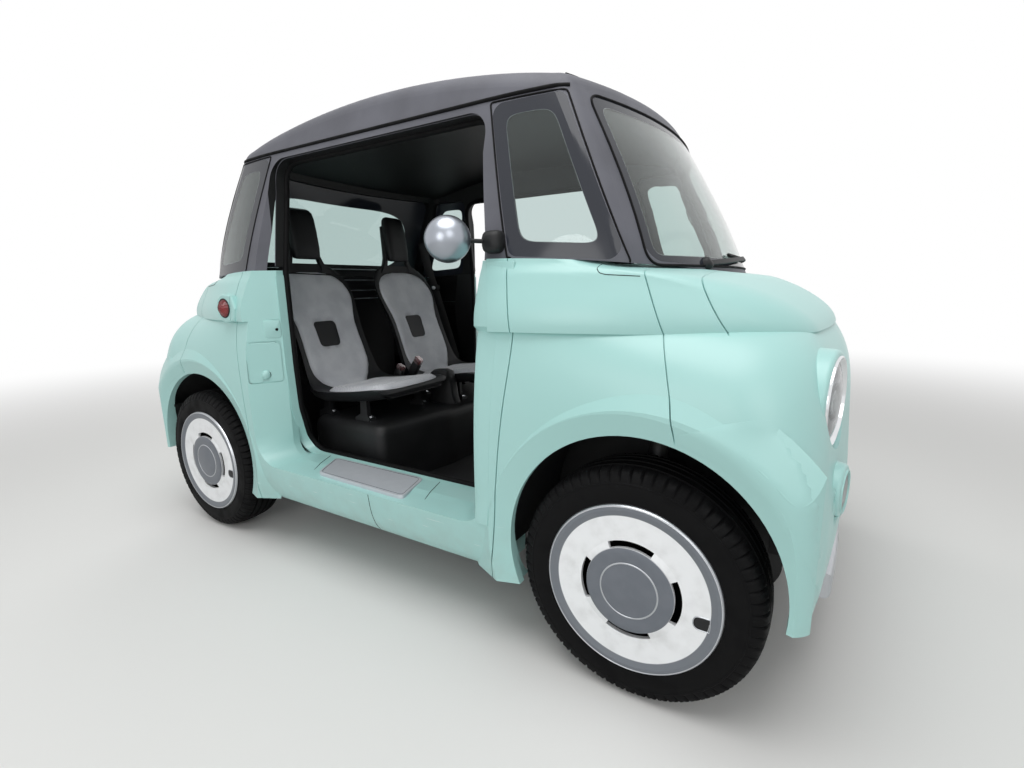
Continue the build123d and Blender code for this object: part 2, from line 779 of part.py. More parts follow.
def front_subframe():
    """Ring frame under the motor with the two lower arms fused to it."""
    rail = 40.0
    low = arm_root_z - rail / 2
    with BuildPart() as ring:
        with BuildSketch(Plane.XY.offset(low)):
            with Locations((axle_x, 0)):
                Rectangle(2 * arm_spread + 2 * rail, 2 * arm_root_y)
                Rectangle(2 * arm_spread, 2 * arm_root_y - 2 * rail, mode=Mode.SUBTRACT)
        extrude(amount=rail)
    seat = along_kingpin(kingpin_low_z - 30, kingpin_low_z, 20, 20)
    end = kingpin_low + kingpin * -19
    arm = bar((axle_x - arm_spread - rail / 2, -arm_root_y + 4, arm_root_z), tuple(end), 11)
    arm = arm + bar((axle_x + arm_spread + rail / 2, -arm_root_y + 4, arm_root_z), tuple(end), 11) + seat
    housing = bar((axle_x - steer_arm, -rack_half, rack_z), (axle_x - steer_arm, rack_half, rack_z), 20)
    housing = housing + box(axle_x - steer_arm - 10, axle_x - steer_arm + 6, -rack_half + 20, 60 - rack_half,
                            low + rail, rack_z)
    housing = housing + box(axle_x - steer_arm - 10, axle_x - steer_arm + 6, rack_half - 60, rack_half - 20,
                            low + rail, rack_z)
    rack_bore = bar((axle_x - steer_arm, -width, rack_z), (axle_x - steer_arm, width, rack_z),
                    rack_radius + spindle_fit)
    return ring.part + arm + arm.mirror(Plane.XZ) + (housing - rack_bore)


write(front_subframe(), "front_subframe")

# Rear axle: cross tube, trailing arms, carriers, spindles and dampers
beam_x = -650.0
beam_z = 262.0
arm_y = 455.0


def rear_axle():
    """Rear suspension in one piece with its spindles."""
    tube = bar((beam_x, -arm_y, beam_z), (beam_x, arm_y, beam_z), 26)
    half = bar((beam_x, -arm_y, beam_z), (-axle_x, -arm_y, tyre_radius), 24)
    half = half + across_disc(-axle_x, tyre_radius, carrier_radius, -wheel_y - hub_face + fit_gap, -arm_y + 20)
    half = half + across_disc(-axle_x, tyre_radius, spindle_radius, -spindle_end, -arm_y)
    damper = bar((-axle_x, -damper_y, tyre_radius), (-axle_x, -damper_y, damper_top), 22)
    spring = bar((-axle_x, -damper_y, 420), (-axle_x, -damper_y, damper_top - 20), 38)
    half = half + damper + spring
    return tube + half + half.mirror(Plane.XZ)


write(rear_axle(), "rear_axle")

# Motor and gearbox block with its two drive shafts
shaft_radius = 12.0
motor = box(axle_x - 90, axle_x + 110, -170, 170, floor_top - 20, 470)
shaft = bar((axle_x, -160, tyre_radius), tuple(joint_centre), shaft_radius)
with BuildPart() as joint_ball:
    with Locations(joint_centre):
        Sphere(ball_radius)
shaft = shaft + joint_ball.part
write(motor + shaft + shaft.mirror(Plane.XZ), "motor")

# Steering rack bar with its two tie rods
rack_end = carrier_inner - 12 - rod_gap
rack = bar((axle_x - steer_arm, -rack_end, rack_z), (axle_x - steer_arm, rack_end, rack_z), rack_radius)
write(rack, "steering_rack")

# Seats
seat_y = 225.0
seat_right_back = 85.0
seat_base_z = 446.0


def seat_side(points, half, shift_x, y, radius):
    """Part of a seat from its side outline, centred on the seat's middle."""
    with BuildPart() as piece:
        with BuildSketch(Plane.XZ.offset(-y - half)) as outline:
            with BuildLine():
                Polyline(*[(x - shift_x, z) for x, z in points], close=True)
            make_face()
            fillet(outline.vertices(), radius)
        extrude(amount=2 * half)
    return piece.part


def seat_shell(shift_x, y):
    """Moulded seat shell with its raised head restraint."""
    bucket = seat_side([(-30, 500), (-30, 470), (-470, 452), (-560, 520), (-700, 1050), (-655, 1050),
                        (-505, 560), (-440, 500)], 200, shift_x, y, 8)
    head = seat_side([(-700, 1040), (-660, 1040), (-640, 1275), (-690, 1285)], 65, shift_x, y, 12)
    return bucket + head


def seat_pads(shift_x, y):
    """Flat pads on the back and the cushion of a seat."""
    low = Vector(-505, 560)
    rise = Vector(-655, 1050) - low
    out = Vector(rise.Y, -rise.X).normalized()
    corners = [low + rise * 0.08 + out * fit_gap, low + rise * 0.08 + out * 16,
               low + rise * 0.92 + out * 16, low + rise * 0.92 + out * fit_gap]
    back = seat_side([(c.X, c.Y) for c in corners], 162, shift_x, y, 4)
    hole = seat_side([(-450, 694), (-580, 694), (-640, 800), (-500, 800)], 54, shift_x, y, 4)
    cushion = seat_side([(-40, 500.3), (-425, 500.3), (-425, 520), (-40, 526)], 190, shift_x, y, 6)
    return [back - hole, cushion]


shells = [seat_shell(0, seat_y), seat_shell(seat_right_back, -seat_y)]
pads = seat_pads(0, seat_y) + seat_pads(seat_right_back, -seat_y)
write(Compound([s for shell_part in shells for s in shell_part.solids()]), "seat_shells")
write(Compound([s for pad in pads for s in pad.solids()]), "seat_pads")
seat_base = box(-520, -70, -440, 440, floor_top, seat_base_z)
under_rear = Vector(-470, 452)
under_front = Vector(-30, 470)
for shift_x, y in ((0, seat_y), (seat_right_back, -seat_y)):
    rail_rear = under_rear + (under_front - under_rear) * 0.1 - Vector(0, fit_gap)
    rail_front = under_rear + (under_front - under_rear) * 0.9 - Vector(0, fit_gap)
    for offset_y in (-130, 130):
        seat_base = seat_base + seat_side(
            [(rail_rear.X, seat_base_z - 10), (rail_front.X, seat_base_z - 10), (rail_front.X, rail_front.Y),
             (rail_rear.X, rail_rear.Y)], 20, shift_x, y + offset_y, 0.5)
write(seat_base, "seat_base")

# Dashboard and steering column
dash = side_prism([(bulkhead_front, 760), (560, 760), (520, 850), (560, 940), (bulkhead_front, 945)], radius=12)
dash = (dash & cavity) - frame_right - frame_left - walls[0]
write(dash, "dashboard")
wheel_centre = Vector(300, seat_y, 850)
column_dir = Vector(math.cos(math.radians(25)), 0, -math.sin(math.radians(25)))
column_end = wheel_centre + column_dir * 330
column_start = wheel_centre + column_dir * 40
column = bar(tuple(column_start), tuple(column_end), 32) - dash
write(column, "steering_column")
rim_plane = Plane(origin=wheel_centre, x_dir=(0, 1, 0), z_dir=column_dir)
with BuildPart() as steering_wheel:
    with BuildSketch(rim_plane.offset(-14)):
        Circle(180)
        Circle(154, mode=Mode.SUBTRACT)
        Rectangle(330, 44)
        Circle(60)
    extrude(amount=28)
    with BuildSketch(rim_plane.offset(14)):
        Circle(24)
    extrude(amount=25.7)
write(steering_wheel.part, "steering_wheel")

# Lamps
headlamp = lamp_unit(headlamp_centre, headlamp_radius, headlamp_depth - fit_gap, 12)
fog_lamp = lamp_unit(fog_centre, fog_radius, fog_depth - fit_gap, 8)
write(both_sides(headlamp), "headlamps")
write(both_sides(headlamp).mirror(Plane.YZ), "tail_lamps")
with BuildPart() as side_lamp:
    with BuildSketch(Plane.XZ):
        with BuildLine():
            dome = ThreePointArc(*dome_arc(side_lamp_radius, 0, 18))
            Polyline(dome @ 1, (0, 0), dome @ 0)
        make_face()
    revolve(axis=Axis.Z)
side_lamp_place = (side_lamp_centre[0], -pad_face - fit_gap, side_lamp_centre[1])
side_lamp_right = side_lamp.part.moved(Location(side_lamp_place, (90, 0, 0)))
lamps = [fog_lamp, fog_lamp.mirror(Plane.YZ), side_lamp_right]
lamps += [lamp.mirror(Plane.XZ) for lamp in lamps]
write(Compound([solid for lamp in lamps for solid in lamp.solids()]), "small_lamps")

# Mirrors
mirror_centre = Vector(448, -750, 1048)
mirror_root = Vector(500, -640, 1047)
with BuildPart() as mirror_ball:
    with Locations(mirror_centre):
        Sphere(52)
mirror_foot = box(474, 526, -662, -600, 1022, 1070)
mirror_foot = fillet(mirror_foot.faces().sort_by(Axis.Y)[0].edges(), 12)
mirror_right = mirror_ball.part + bar(tuple(mirror_centre), tuple(mirror_root), 7) + mirror_foot
mirror_right = mirror_right - greenhouse_outer
write(both_sides(mirror_right), "mirrors")

# Bumper bars wrapped round the foot of both fascias
bumper_low = 236.0
bumper_high = 298.0
bumper_half = 430.0
bumper_depth = 46.0
bumper_station = (bumper_low, 1, 0, 20000, 4500, 60)
strip = (extrude(plan_section(bumper_station), amount=bumper_high - bumper_low)
         - extrude(plan_section(bumper_station, bumper_depth), amount=bumper_high - bumper_low))
strip = strip & box(half_length - 100, length, -bumper_half, bumper_half, 0, height)
strip = fillet([e for e in strip.edges() if e.center().X > half_length - 30], 14)
bumper = strip - body_outer
write(Compound([bumper, bumper.mirror(Plane.YZ)]), "bumper_bars")
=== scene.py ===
import math

import bpy
from mathutils import Matrix, Vector, noise
from mathutils.bvhtree import BVHTree


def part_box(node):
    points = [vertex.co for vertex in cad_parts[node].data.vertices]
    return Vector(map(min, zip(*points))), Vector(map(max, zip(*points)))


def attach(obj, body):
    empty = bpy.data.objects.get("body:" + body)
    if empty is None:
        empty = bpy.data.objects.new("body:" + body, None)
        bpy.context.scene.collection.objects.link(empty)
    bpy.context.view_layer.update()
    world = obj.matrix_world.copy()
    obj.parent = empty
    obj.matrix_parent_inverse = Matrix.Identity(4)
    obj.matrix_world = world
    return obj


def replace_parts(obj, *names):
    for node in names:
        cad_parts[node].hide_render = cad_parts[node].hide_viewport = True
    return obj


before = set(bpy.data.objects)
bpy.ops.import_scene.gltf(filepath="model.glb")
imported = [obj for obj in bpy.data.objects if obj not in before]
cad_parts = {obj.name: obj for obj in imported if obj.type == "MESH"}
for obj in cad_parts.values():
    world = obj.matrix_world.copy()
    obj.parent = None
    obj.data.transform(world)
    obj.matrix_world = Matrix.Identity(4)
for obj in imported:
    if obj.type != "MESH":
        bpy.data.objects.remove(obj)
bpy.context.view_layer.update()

bl_info = {
    "name": "Open Sided Microcar",
    "version": (1, 0, 0),
    "blender": (4, 5, 0),
    "location": "3D View > Sidebar > Microcar",
    "description": "Dresses the two-seat electric microcar: finishes, tyres, lamps, seats and small trim",
    "category": "Object",
}

TYRE_LOW, TYRE_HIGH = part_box("tyre_front_right")

# Places in millimetres: the wheel centres, the upright lines that the body's corners turn about, the
# inner edges of the door posts, and how far the driver's wheel and instruments lie to the left.
AXLE_REACH, HUB_ASIDE, HUB_HEIGHT = 864.0, 605.0, 278.5
CORNER_REACH, CORNER_ASIDE, CORNER_BEND = 1040, 455, 235
POST_EDGE, WHEEL_ASIDE = 437.0, 225

SIDES = (("right", -1), ("left", 1))
ENDS = (("front", 1), ("rear", -1))
WHEELS = (("front_right", 1, -1), ("front_left", 1, 1), ("rear_right", -1, -1), ("rear_left", -1, 1))


def linear(hexadecimal):
    """Linear colour of an sRGB hex value."""
    value = hexadecimal.lstrip("#")
    shades = [int(value[i:i + 2], 16) / 255 for i in (0, 2, 4)]
    return tuple(s / 12.92 if s <= 0.04045 else ((s + 0.055) / 1.055) ** 2.4 for s in shades) + (1.0,)


class MicrocarColours(bpy.types.PropertyGroup):
    """Colours of the finishes a user would change, as sRGB hex values."""
    body: bpy.props.StringProperty(
        name="Body panels", description="Moulded body panels", default="#A6D2CE")
    roof: bpy.props.StringProperty(
        name="Roof and pillars", description="Grained roof and pillar mouldings", default="#55565D")
    seat_pad: bpy.props.StringProperty(
        name="Seat pads", description="Knitted seat pad covers", default="#F1F3F7")
    cover: bpy.props.StringProperty(
        name="Wheel covers", description="Painted ring of the wheel covers", default="#F3F5F7")
    tail: bpy.props.StringProperty(
        name="Tail lamps", description="Tinted lenses of the tail and side lamps", default="#C01018")


class MicrocarSizes(bpy.types.PropertyGroup):
    """Sizes of the dressed pieces in metres; the defaults follow the frame."""
    tyre_radius: bpy.props.FloatProperty(
        name="Tyre radius", description="Outer radius of a tyre", unit="LENGTH",
        default=(TYRE_HIGH.z - TYRE_LOW.z) / 2)
    tyre_width: bpy.props.FloatProperty(
        name="Tyre width", description="Width of a tyre across its walls", unit="LENGTH",
        default=TYRE_HIGH.y - TYRE_LOW.y)
    sipe_pitch: bpy.props.FloatProperty(
        name="Sipe pitch", description="Distance between the shoulder cuts of a tyre", unit="LENGTH",
        default=0.026)
    lamp_radius: bpy.props.FloatProperty(
        name="Headlamp radius", description="Radius of a headlamp's bright rim", unit="LENGTH",
        default=0.095)
    pad_crown: bpy.props.FloatProperty(
        name="Pad crown", description="Height of a seat pad above its shell", unit="LENGTH",
        default=0.017)
    belt_width: bpy.props.FloatProperty(
        name="Belt width", description="Width of the seat belt webbing", unit="LENGTH", default=0.047)


# Kinds of node that the finishes use over and over, and the options that each is given here.
NOISE, CELLS, WAVES = "ShaderNodeTexNoise", "ShaderNodeTexVoronoi", "ShaderNodeTexWave"
RANGE, MIX, MATH, VECTORS, BUMP = ("ShaderNodeMapRange", "ShaderNodeMix", "ShaderNodeMath",
                                   "ShaderNodeVectorMath", "ShaderNodeBump")
USUAL = {RANGE: {"interpolation_type": "SMOOTHSTEP"}, MIX: {"data_type": "RGBA"},
         MATH: {"operation": "MULTIPLY"}}
WAVE_BANDS = 3.2  # bands that the wave texture draws in a metre at a scale of 1


def add_node(tree, kind, settings=(), links=()):
    """Add one node, give its options and inputs their values, and link what feeds it: a socket, or
    a node whose first open output is meant. Inputs go by name or number: a range reads from 1 to 2
    and gives from 3 to 4, and the colours of a mix are 6 and 7."""
    node = tree.nodes.new(kind)
    for key, value in {**USUAL.get(kind, {}), **dict(settings)}.items():
        if isinstance(key, str) and key in node.bl_rna.properties:
            setattr(node, key, value)
        else:
            node.inputs[key].default_value = value
    for key, source in dict(links).items():
        if isinstance(source, bpy.types.Node):
            source = next(output for output in source.outputs if output.enabled)
        tree.links.new(source, node.inputs[key])
    return node


def start_finish(name):
    """New material with an empty tree, and the place on the object in metres."""
    material = bpy.data.materials.new(name)
    material.use_nodes = True
    tree = material.node_tree
    tree.nodes.clear()
    return material, tree, add_node(tree, "ShaderNodeTexCoord").outputs["Object"]


def close_finish(material, settings, links):
    """Give a material its one shader, with its values and what feeds it."""
    tree = material.node_tree
    shader = add_node(tree, "ShaderNodeBsdfPrincipled", settings, links)
    add_node(tree, "ShaderNodeOutputMaterial", {}, {"Surface": shader})
    return material


def cycles_for(size_mm):
    """Texture scale whose pattern repeats about every so many millimetres."""
    return 1000.0 / size_mm


# Mask of painted shade: the finishes darken with it the faces that look into the cabin.
def cabin_shade_mask(tree, place, centre, stretch):
    """1 where a face looks back at a centre, seen only along the axes that stretch keeps, and 0 outside."""
    arm = add_node(tree, VECTORS, {"operation": "SUBTRACT", 1: centre}, {0: place})
    arm = add_node(tree, VECTORS, {"operation": "MULTIPLY", 1: stretch}, {0: arm})
    arm = add_node(tree, VECTORS, {"operation": "NORMALIZE"}, {0: arm})
    facing = add_node(tree, "ShaderNodeTexCoord").outputs["Normal"]
    turn = add_node(tree, VECTORS, {"operation": "DOT_PRODUCT"}, {0: arm, 1: facing}).outputs["Value"]
    return add_node(tree, RANGE, {1: -0.3, 2: -0.2, 3: 1.0, 4: 0.0}, {0: turn})


def moulded_abs(colour):
    """Injection-moulded ABS body panel, coloured through: a soft satin sheen with a faint
    orange peel, a breath of road dust low down, a few short pale rubs near the sills and
    nose, and painted shade, near black, on the faces that look into the cabin."""
    material, tree, place = start_finish("moulded_abs_mint")
    height = add_node(tree, "ShaderNodeSeparateXYZ", {}, {0: place}).outputs["Z"]
    cloud = add_node(tree, NOISE, {"Scale": cycles_for(420), "Detail": 2.0}, {"Vector": place})
    cloud = add_node(tree, RANGE, {1: 0.35, 2: 0.65}, {0: cloud})
    share = add_node(tree, MATH, {1: 0.3}, {0: cloud})
    base = add_node(tree, MIX, {6: linear(colour), 7: linear("#9ECDC8")}, {0: share})
    low = add_node(tree, RANGE, {1: 0.2, 2: 0.4, 3: 0.3, 4: 0.0}, {0: height})
    specks = add_node(tree, NOISE, {"Scale": cycles_for(60), "Detail": 4.0}, {"Vector": place})
    specks = add_node(tree, RANGE, {1: 0.35, 2: 0.75}, {0: specks})
    dust = add_node(tree, MATH, {}, {0: low, 1: specks})
    base = add_node(tree, MIX, {7: linear("#98A8A2")}, {0: dust, 6: base})
    drawn = add_node(tree, "ShaderNodeMapping", {"Scale": (0.12, 0.2, 1.6)}, {"Vector": place})
    rubs = add_node(tree, NOISE, {"Scale": cycles_for(9), "Detail": 3.0}, {"Vector": drawn})
    rubs = add_node(tree, RANGE, {1: 0.68, 2: 0.74}, {0: rubs})
    low = add_node(tree, RANGE, {1: 0.26, 2: 0.4, 3: 0.6, 4: 0.0}, {0: height})
    rubs = add_node(tree, MATH, {}, {0: rubs, 1: low})
    base = add_node(tree, MIX, {7: linear("#DCE6E3")}, {0: rubs, 6: base})
    # painted shade: faces that look towards the car's middle turn near black, standing in for the shade inside
    # the cabin
    cabin = cabin_shade_mask(tree, place, (0.0, 0.0, 0.0), (0.0, 1.0, 0.0))
    base = add_node(tree, MIX, {7: linear("#060708")}, {0: cabin, 6: base})
    # the real orange peel is about 0.5 mm across, drawn at 2.5 mm so that it shows
    peel = add_node(tree, NOISE, {"Scale": cycles_for(2.5), "Detail": 1.0}, {"Vector": place})
    rough = add_node(tree, RANGE, {1: 0.0, 2: 1.0, 3: 0.4, 4: 0.33}, {0: cloud})
    bump = add_node(tree, BUMP, {"Strength": 0.35, "Distance": 0.03 / 1000}, {"Height": peel})
    return close_finish(material, {"IOR": 1.53, "Coat Weight": 0.12, "Coat Roughness": 0.3},
                        {"Base Color": base, "Roughness": rough, "Normal": bump})


def grained_asa(name, dark, pale, cabin_shade_colour=None):
    """Moulded ASA with an etched leather grain: flat and slightly dusty, and where a shade colour is
    given, painted shade in that colour on the faces that look into the cabin."""
    material, tree, place = start_finish(name)
    cloud = add_node(tree, NOISE, {"Scale": cycles_for(160), "Detail": 3.0}, {"Vector": place})
    cloud = add_node(tree, RANGE, {1: 0.35, 2: 0.7}, {0: cloud})
    base = add_node(tree, MIX, {6: linear(dark), 7: linear(pale)}, {0: cloud})
    if cabin_shade_colour:
        # painted shade: faces that look back at the cabin take the given colour, standing in for the shade
        # inside
        cabin = cabin_shade_mask(tree, place, (0.0, 0.0, 0.9), (1.0, 1.0, 1.0))
        base = add_node(tree, MIX, {7: linear(cabin_shade_colour)}, {0: cabin, 6: base})
    # the etched cells are about 1 mm wide, drawn at 2 mm
    cells = add_node(tree, CELLS, {"Scale": cycles_for(2.0)}, {"Vector": place})
    rough = add_node(tree, RANGE, {1: 0.0, 2: 0.8, 3: 0.62, 4: 0.5}, {0: cells})
    bump = add_node(tree, BUMP, {"Strength": 0.4, "Distance": 0.12 / 1000}, {"Height": cells})
    return close_finish(material, {"IOR": 1.5, "Specular IOR Level": 0.4},
                        {"Base Color": base, "Roughness": rough, "Normal": bump})


def woven_vinyl(colour):
    """Vinyl-coated polyester weave of the folding top: dull threads with a slight waviness."""
    material, tree, place = start_finish("woven_vinyl_top")
    # the threads are 0.8 mm apart, drawn at 2.4 mm
    threads = [add_node(tree, WAVES, {"bands_direction": way, "Scale": cycles_for(2.4) / WAVE_BANDS},
                        {"Vector": place}).outputs["Fac"] for way in "XY"]
    weave = add_node(tree, MATH, {}, {0: threads[0], 1: threads[1]})
    share = add_node(tree, RANGE, {1: 0.0, 2: 1.0, 3: 0.0, 4: 0.5}, {0: weave})
    base = add_node(tree, MIX, {6: linear(colour), 7: linear("#5E5E66")}, {0: share})
    rough = add_node(tree, RANGE, {1: 0.0, 2: 1.0, 3: 0.9, 4: 0.7}, {0: weave})
    bump = add_node(tree, BUMP, {"Strength": 0.5, "Distance": 0.25 / 1000}, {"Height": weave})
    return close_finish(material, {"IOR": 1.46, "Sheen Weight": 0.15},
                        {"Base Color": base, "Roughness": rough, "Normal": bump})


def matt_rubber(name, colour, pale, size_mm=30.0):
    """Vulcanised rubber: deep and matt, greyed by dust that settles in patches."""
    material, tree, place = start_finish(name)
    cloud = add_node(tree, NOISE, {"Scale": cycles_for(size_mm), "Detail": 4.0}, {"Vector": place})
    cloud = add_node(tree, RANGE, {1: 0.4, 2: 0.75}, {0: cloud})
    base = add_node(tree, MIX, {6: linear(colour), 7: linear(pale)}, {0: cloud})
    rough = add_node(tree, RANGE, {1: 0.0, 2: 1.0, 3: 0.62, 4: 0.85}, {0: cloud})
    pores = add_node(tree, NOISE, {"Scale": cycles_for(1.5), "Detail": 2.0}, {"Vector": place})
    bump = add_node(tree, BUMP, {"Strength": 0.4, "Distance": 0.05 / 1000}, {"Height": pores})
    return close_finish(material, {"IOR": 1.52, "Specular IOR Level": 0.12},
                        {"Base Color": base, "Roughness": rough, "Normal": bump})


def printed_glass(name, sides, border, clear_colour, bend):
    """Toughened float glass with a black enamel border fired on: clear and faintly green in the
    middle, and a satin black band of a set width along its edges. Each side is a plane that tells
    how far inside it a point lies, a x + b y + c z + d in metres, and bend rounds the corners."""
    material, tree, place = start_finish(name)
    folded = add_node(tree, VECTORS, {"operation": "ABSOLUTE"}, {0: place})
    inside = None
    for a, b, c, d in sides:
        reach = add_node(tree, VECTORS, {"operation": "DOT_PRODUCT", 1: (a, b, c)},
                         {0: folded}).outputs["Value"]
        reach = add_node(tree, MATH, {"operation": "ADD", 1: d}, {0: reach})
        inside = add_node(tree, MATH, {"operation": "SMOOTH_MIN", 2: bend},
                          {0: inside, 1: reach}) if inside else reach
    clear = add_node(tree, RANGE, {1: border - 0.001, 2: border + 0.001}, {0: inside})
    base = add_node(tree, MIX, {6: linear("#2A2D35"), 7: linear(clear_colour)}, {0: clear})
    rough = add_node(tree, RANGE, {1: 0.0, 2: 1.0, 3: 0.12, 4: 0.0}, {0: clear})
    return close_finish(material, {"IOR": 1.45},
                        {"Base Color": base, "Transmission Weight": clear, "Roughness": rough})


def clear_acrylic(name, colour, roughness=0.03):
    """Moulded acrylic lens: clear right through, tinted by its pigment."""
    material, tree, place = start_finish(name)
    cloud = add_node(tree, NOISE, {"Scale": cycles_for(60), "Detail": 2.0}, {"Vector": place})
    cloud = add_node(tree, RANGE, {1: 0.3, 2: 0.7}, {0: cloud})
    share = add_node(tree, MATH, {1: 0.12}, {0: cloud})
    base = add_node(tree, MIX, {6: linear(colour), 7: linear("#FFFFFF")}, {0: share})
    return close_finish(material, {"IOR": 1.49, "Transmission Weight": 0.92, "Roughness": roughness},
                        {"Base Color": base})


def knitted_cover(colour):
    """Knitted polyester over foam: matt, with fine ribs across the seat and a soft fuzz."""
    material, tree, place = start_finish("knitted_polyester_pad")
    # the ribs are 1.2 mm apart, drawn at 3 mm, and their loops at 2.2 mm
    rows = [add_node(tree, WAVES, {"bands_direction": way, "Scale": cycles_for(size_mm) / WAVE_BANDS,
                                   "Distortion": stray}, {"Vector": place}).outputs["Fac"]
            for way, size_mm, stray in (("Y", 3.0, 0.6), ("Z", 2.2, 0.8))]
    knit = add_node(tree, MATH, {}, {0: rows[0], 1: rows[1]})
    worn = add_node(tree, NOISE, {"Scale": cycles_for(90), "Detail": 3.0}, {"Vector": place})
    worn = add_node(tree, RANGE, {1: 0.35, 2: 0.7}, {0: worn})
    worn = add_node(tree, MATH, {1: 0.35}, {0: worn})
    base = add_node(tree, MIX, {6: linear(colour), 7: linear("#A9ADB7")}, {0: worn})
    gaps = add_node(tree, RANGE, {1: 0.0, 2: 0.6, 3: 0.45, 4: 0.0}, {0: knit})
    base = add_node(tree, MIX, {7: linear("#8B8F9A")}, {0: gaps, 6: base})
    bump = add_node(tree, BUMP, {"Strength": 0.5, "Distance": 0.3 / 1000}, {"Height": knit})
    return close_finish(material, {"IOR": 1.45, "Sheen Weight": 0.3, "Sheen Roughness": 0.5,
                                   "Roughness": 0.9}, {"Base Color": base, "Normal": bump})


def brushed_satin(name, colour, metallic=1.0, roughness=0.3):
    """Satin aluminium or aluminium paint: bright with a broad soft highlight."""
    material, tree, place = start_finish(name)
    cloud = add_node(tree, NOISE, {"Scale": cycles_for(35), "Detail": 3.0}, {"Vector": place})
    cloud = add_node(tree, RANGE, {1: 0.3, 2: 0.7}, {0: cloud})
    share = add_node(tree, MATH, {1: 0.1}, {0: cloud})
    base = add_node(tree, MIX, {6: linear(colour), 7: linear("#9A9DA2")}, {0: share})
    rough = add_node(tree, RANGE, {1: 0.0, 2: 1.0, 3: roughness - 0.01, 4: roughness + 0.02}, {0: cloud})
    return close_finish(material, {"Metallic": metallic}, {"Base Color": base, "Roughness": rough})


def painted_cover(colour):
    """Injection-moulded polyamide wheel cover, sprayed in two metallic paints: a pale
    ring inside a grey lip with a bright edge, and a grey dome, with brake dust near the slots."""
    material, tree, place = start_finish("painted_polyamide_cover")
    folded = add_node(tree, VECTORS, {"operation": "ABSOLUTE"}, {0: place})
    arm = add_node(tree, VECTORS, {"operation": "SUBTRACT", 1: (AXLE_REACH / 1000, 0.0, HUB_HEIGHT / 1000)},
                   {0: folded})
    flat = add_node(tree, VECTORS, {"operation": "MULTIPLY", 1: (1.0, 0.0, 1.0)}, {0: arm})
    radius = add_node(tree, VECTORS, {"operation": "LENGTH"}, {0: flat}).outputs["Value"]
    across = add_node(tree, "ShaderNodeSeparateXYZ", {}, {0: folded}).outputs["Y"]
    base = None
    for start, end, inner, outer in ((0.098, 0.101, "#6E737B", colour), (0.1715, 0.1735, None, "#73787F"),
                                     (0.193, 0.1945, None, "#E4E6E9")):
        share = add_node(tree, RANGE, {1: start, 2: end}, {0: radius})
        colours = {6: linear(inner), 7: linear(outer)} if inner else {7: linear(outer)}
        base = add_node(tree, MIX, colours, {0: share, 6: base} if base else {0: share})
    specks = add_node(tree, NOISE, {"Scale": cycles_for(40), "Detail": 4.0}, {"Vector": place})
    specks = add_node(tree, RANGE, {1: 0.4, 2: 0.8}, {0: specks})
    spread = add_node(tree, RANGE, {1: 0.1, 2: 0.2, 3: 0.25, 4: 0.1}, {0: radius})
    dust = add_node(tree, MATH, {}, {0: specks, 1: spread})
    base = add_node(tree, MIX, {7: linear("#8E8D8A")}, {0: dust, 6: base})
    outside = add_node(tree, RANGE, {1: 0.668, 2: 0.6705}, {0: across})
    base = add_node(tree, MIX, {6: linear("#0B0B0C")}, {0: outside, 7: base})
    peel = add_node(tree, NOISE, {"Scale": cycles_for(2.0), "Detail": 1.0}, {"Vector": place})
    bump = add_node(tree, BUMP, {"Strength": 0.2, "Distance": 0.01 / 1000}, {"Height": peel})
    return close_finish(material, {"IOR": 1.5, "Metallic": 0.35, "Roughness": 0.36},
                        {"Base Color": base, "Normal": bump})


def coated_steel(name, colour, pale, rough=0.5):
    """Pressed or welded steel under powder coat: a low gloss with fine pimples and road film."""
    material, tree, place = start_finish(name)
    cloud = add_node(tree, NOISE, {"Scale": cycles_for(50), "Detail": 4.0}, {"Vector": place})
    cloud = add_node(tree, RANGE, {1: 0.4, 2: 0.7}, {0: cloud})
    base = add_node(tree, MIX, {6: linear(colour), 7: linear(pale)}, {0: cloud})
    roughness = add_node(tree, RANGE, {1: 0.0, 2: 1.0, 3: rough, 4: rough + 0.2}, {0: cloud})
    pimples = add_node(tree, NOISE, {"Scale": cycles_for(3.0), "Detail": 2.0}, {"Vector": place})
    bump = add_node(tree, BUMP, {"Strength": 0.4, "Distance": 0.05 / 1000}, {"Height": pimples})
    return close_finish(material, {"IOR": 1.5, "Metallic": 0.2},
                        {"Base Color": base, "Roughness": roughness, "Normal": bump})


FINISH = {}


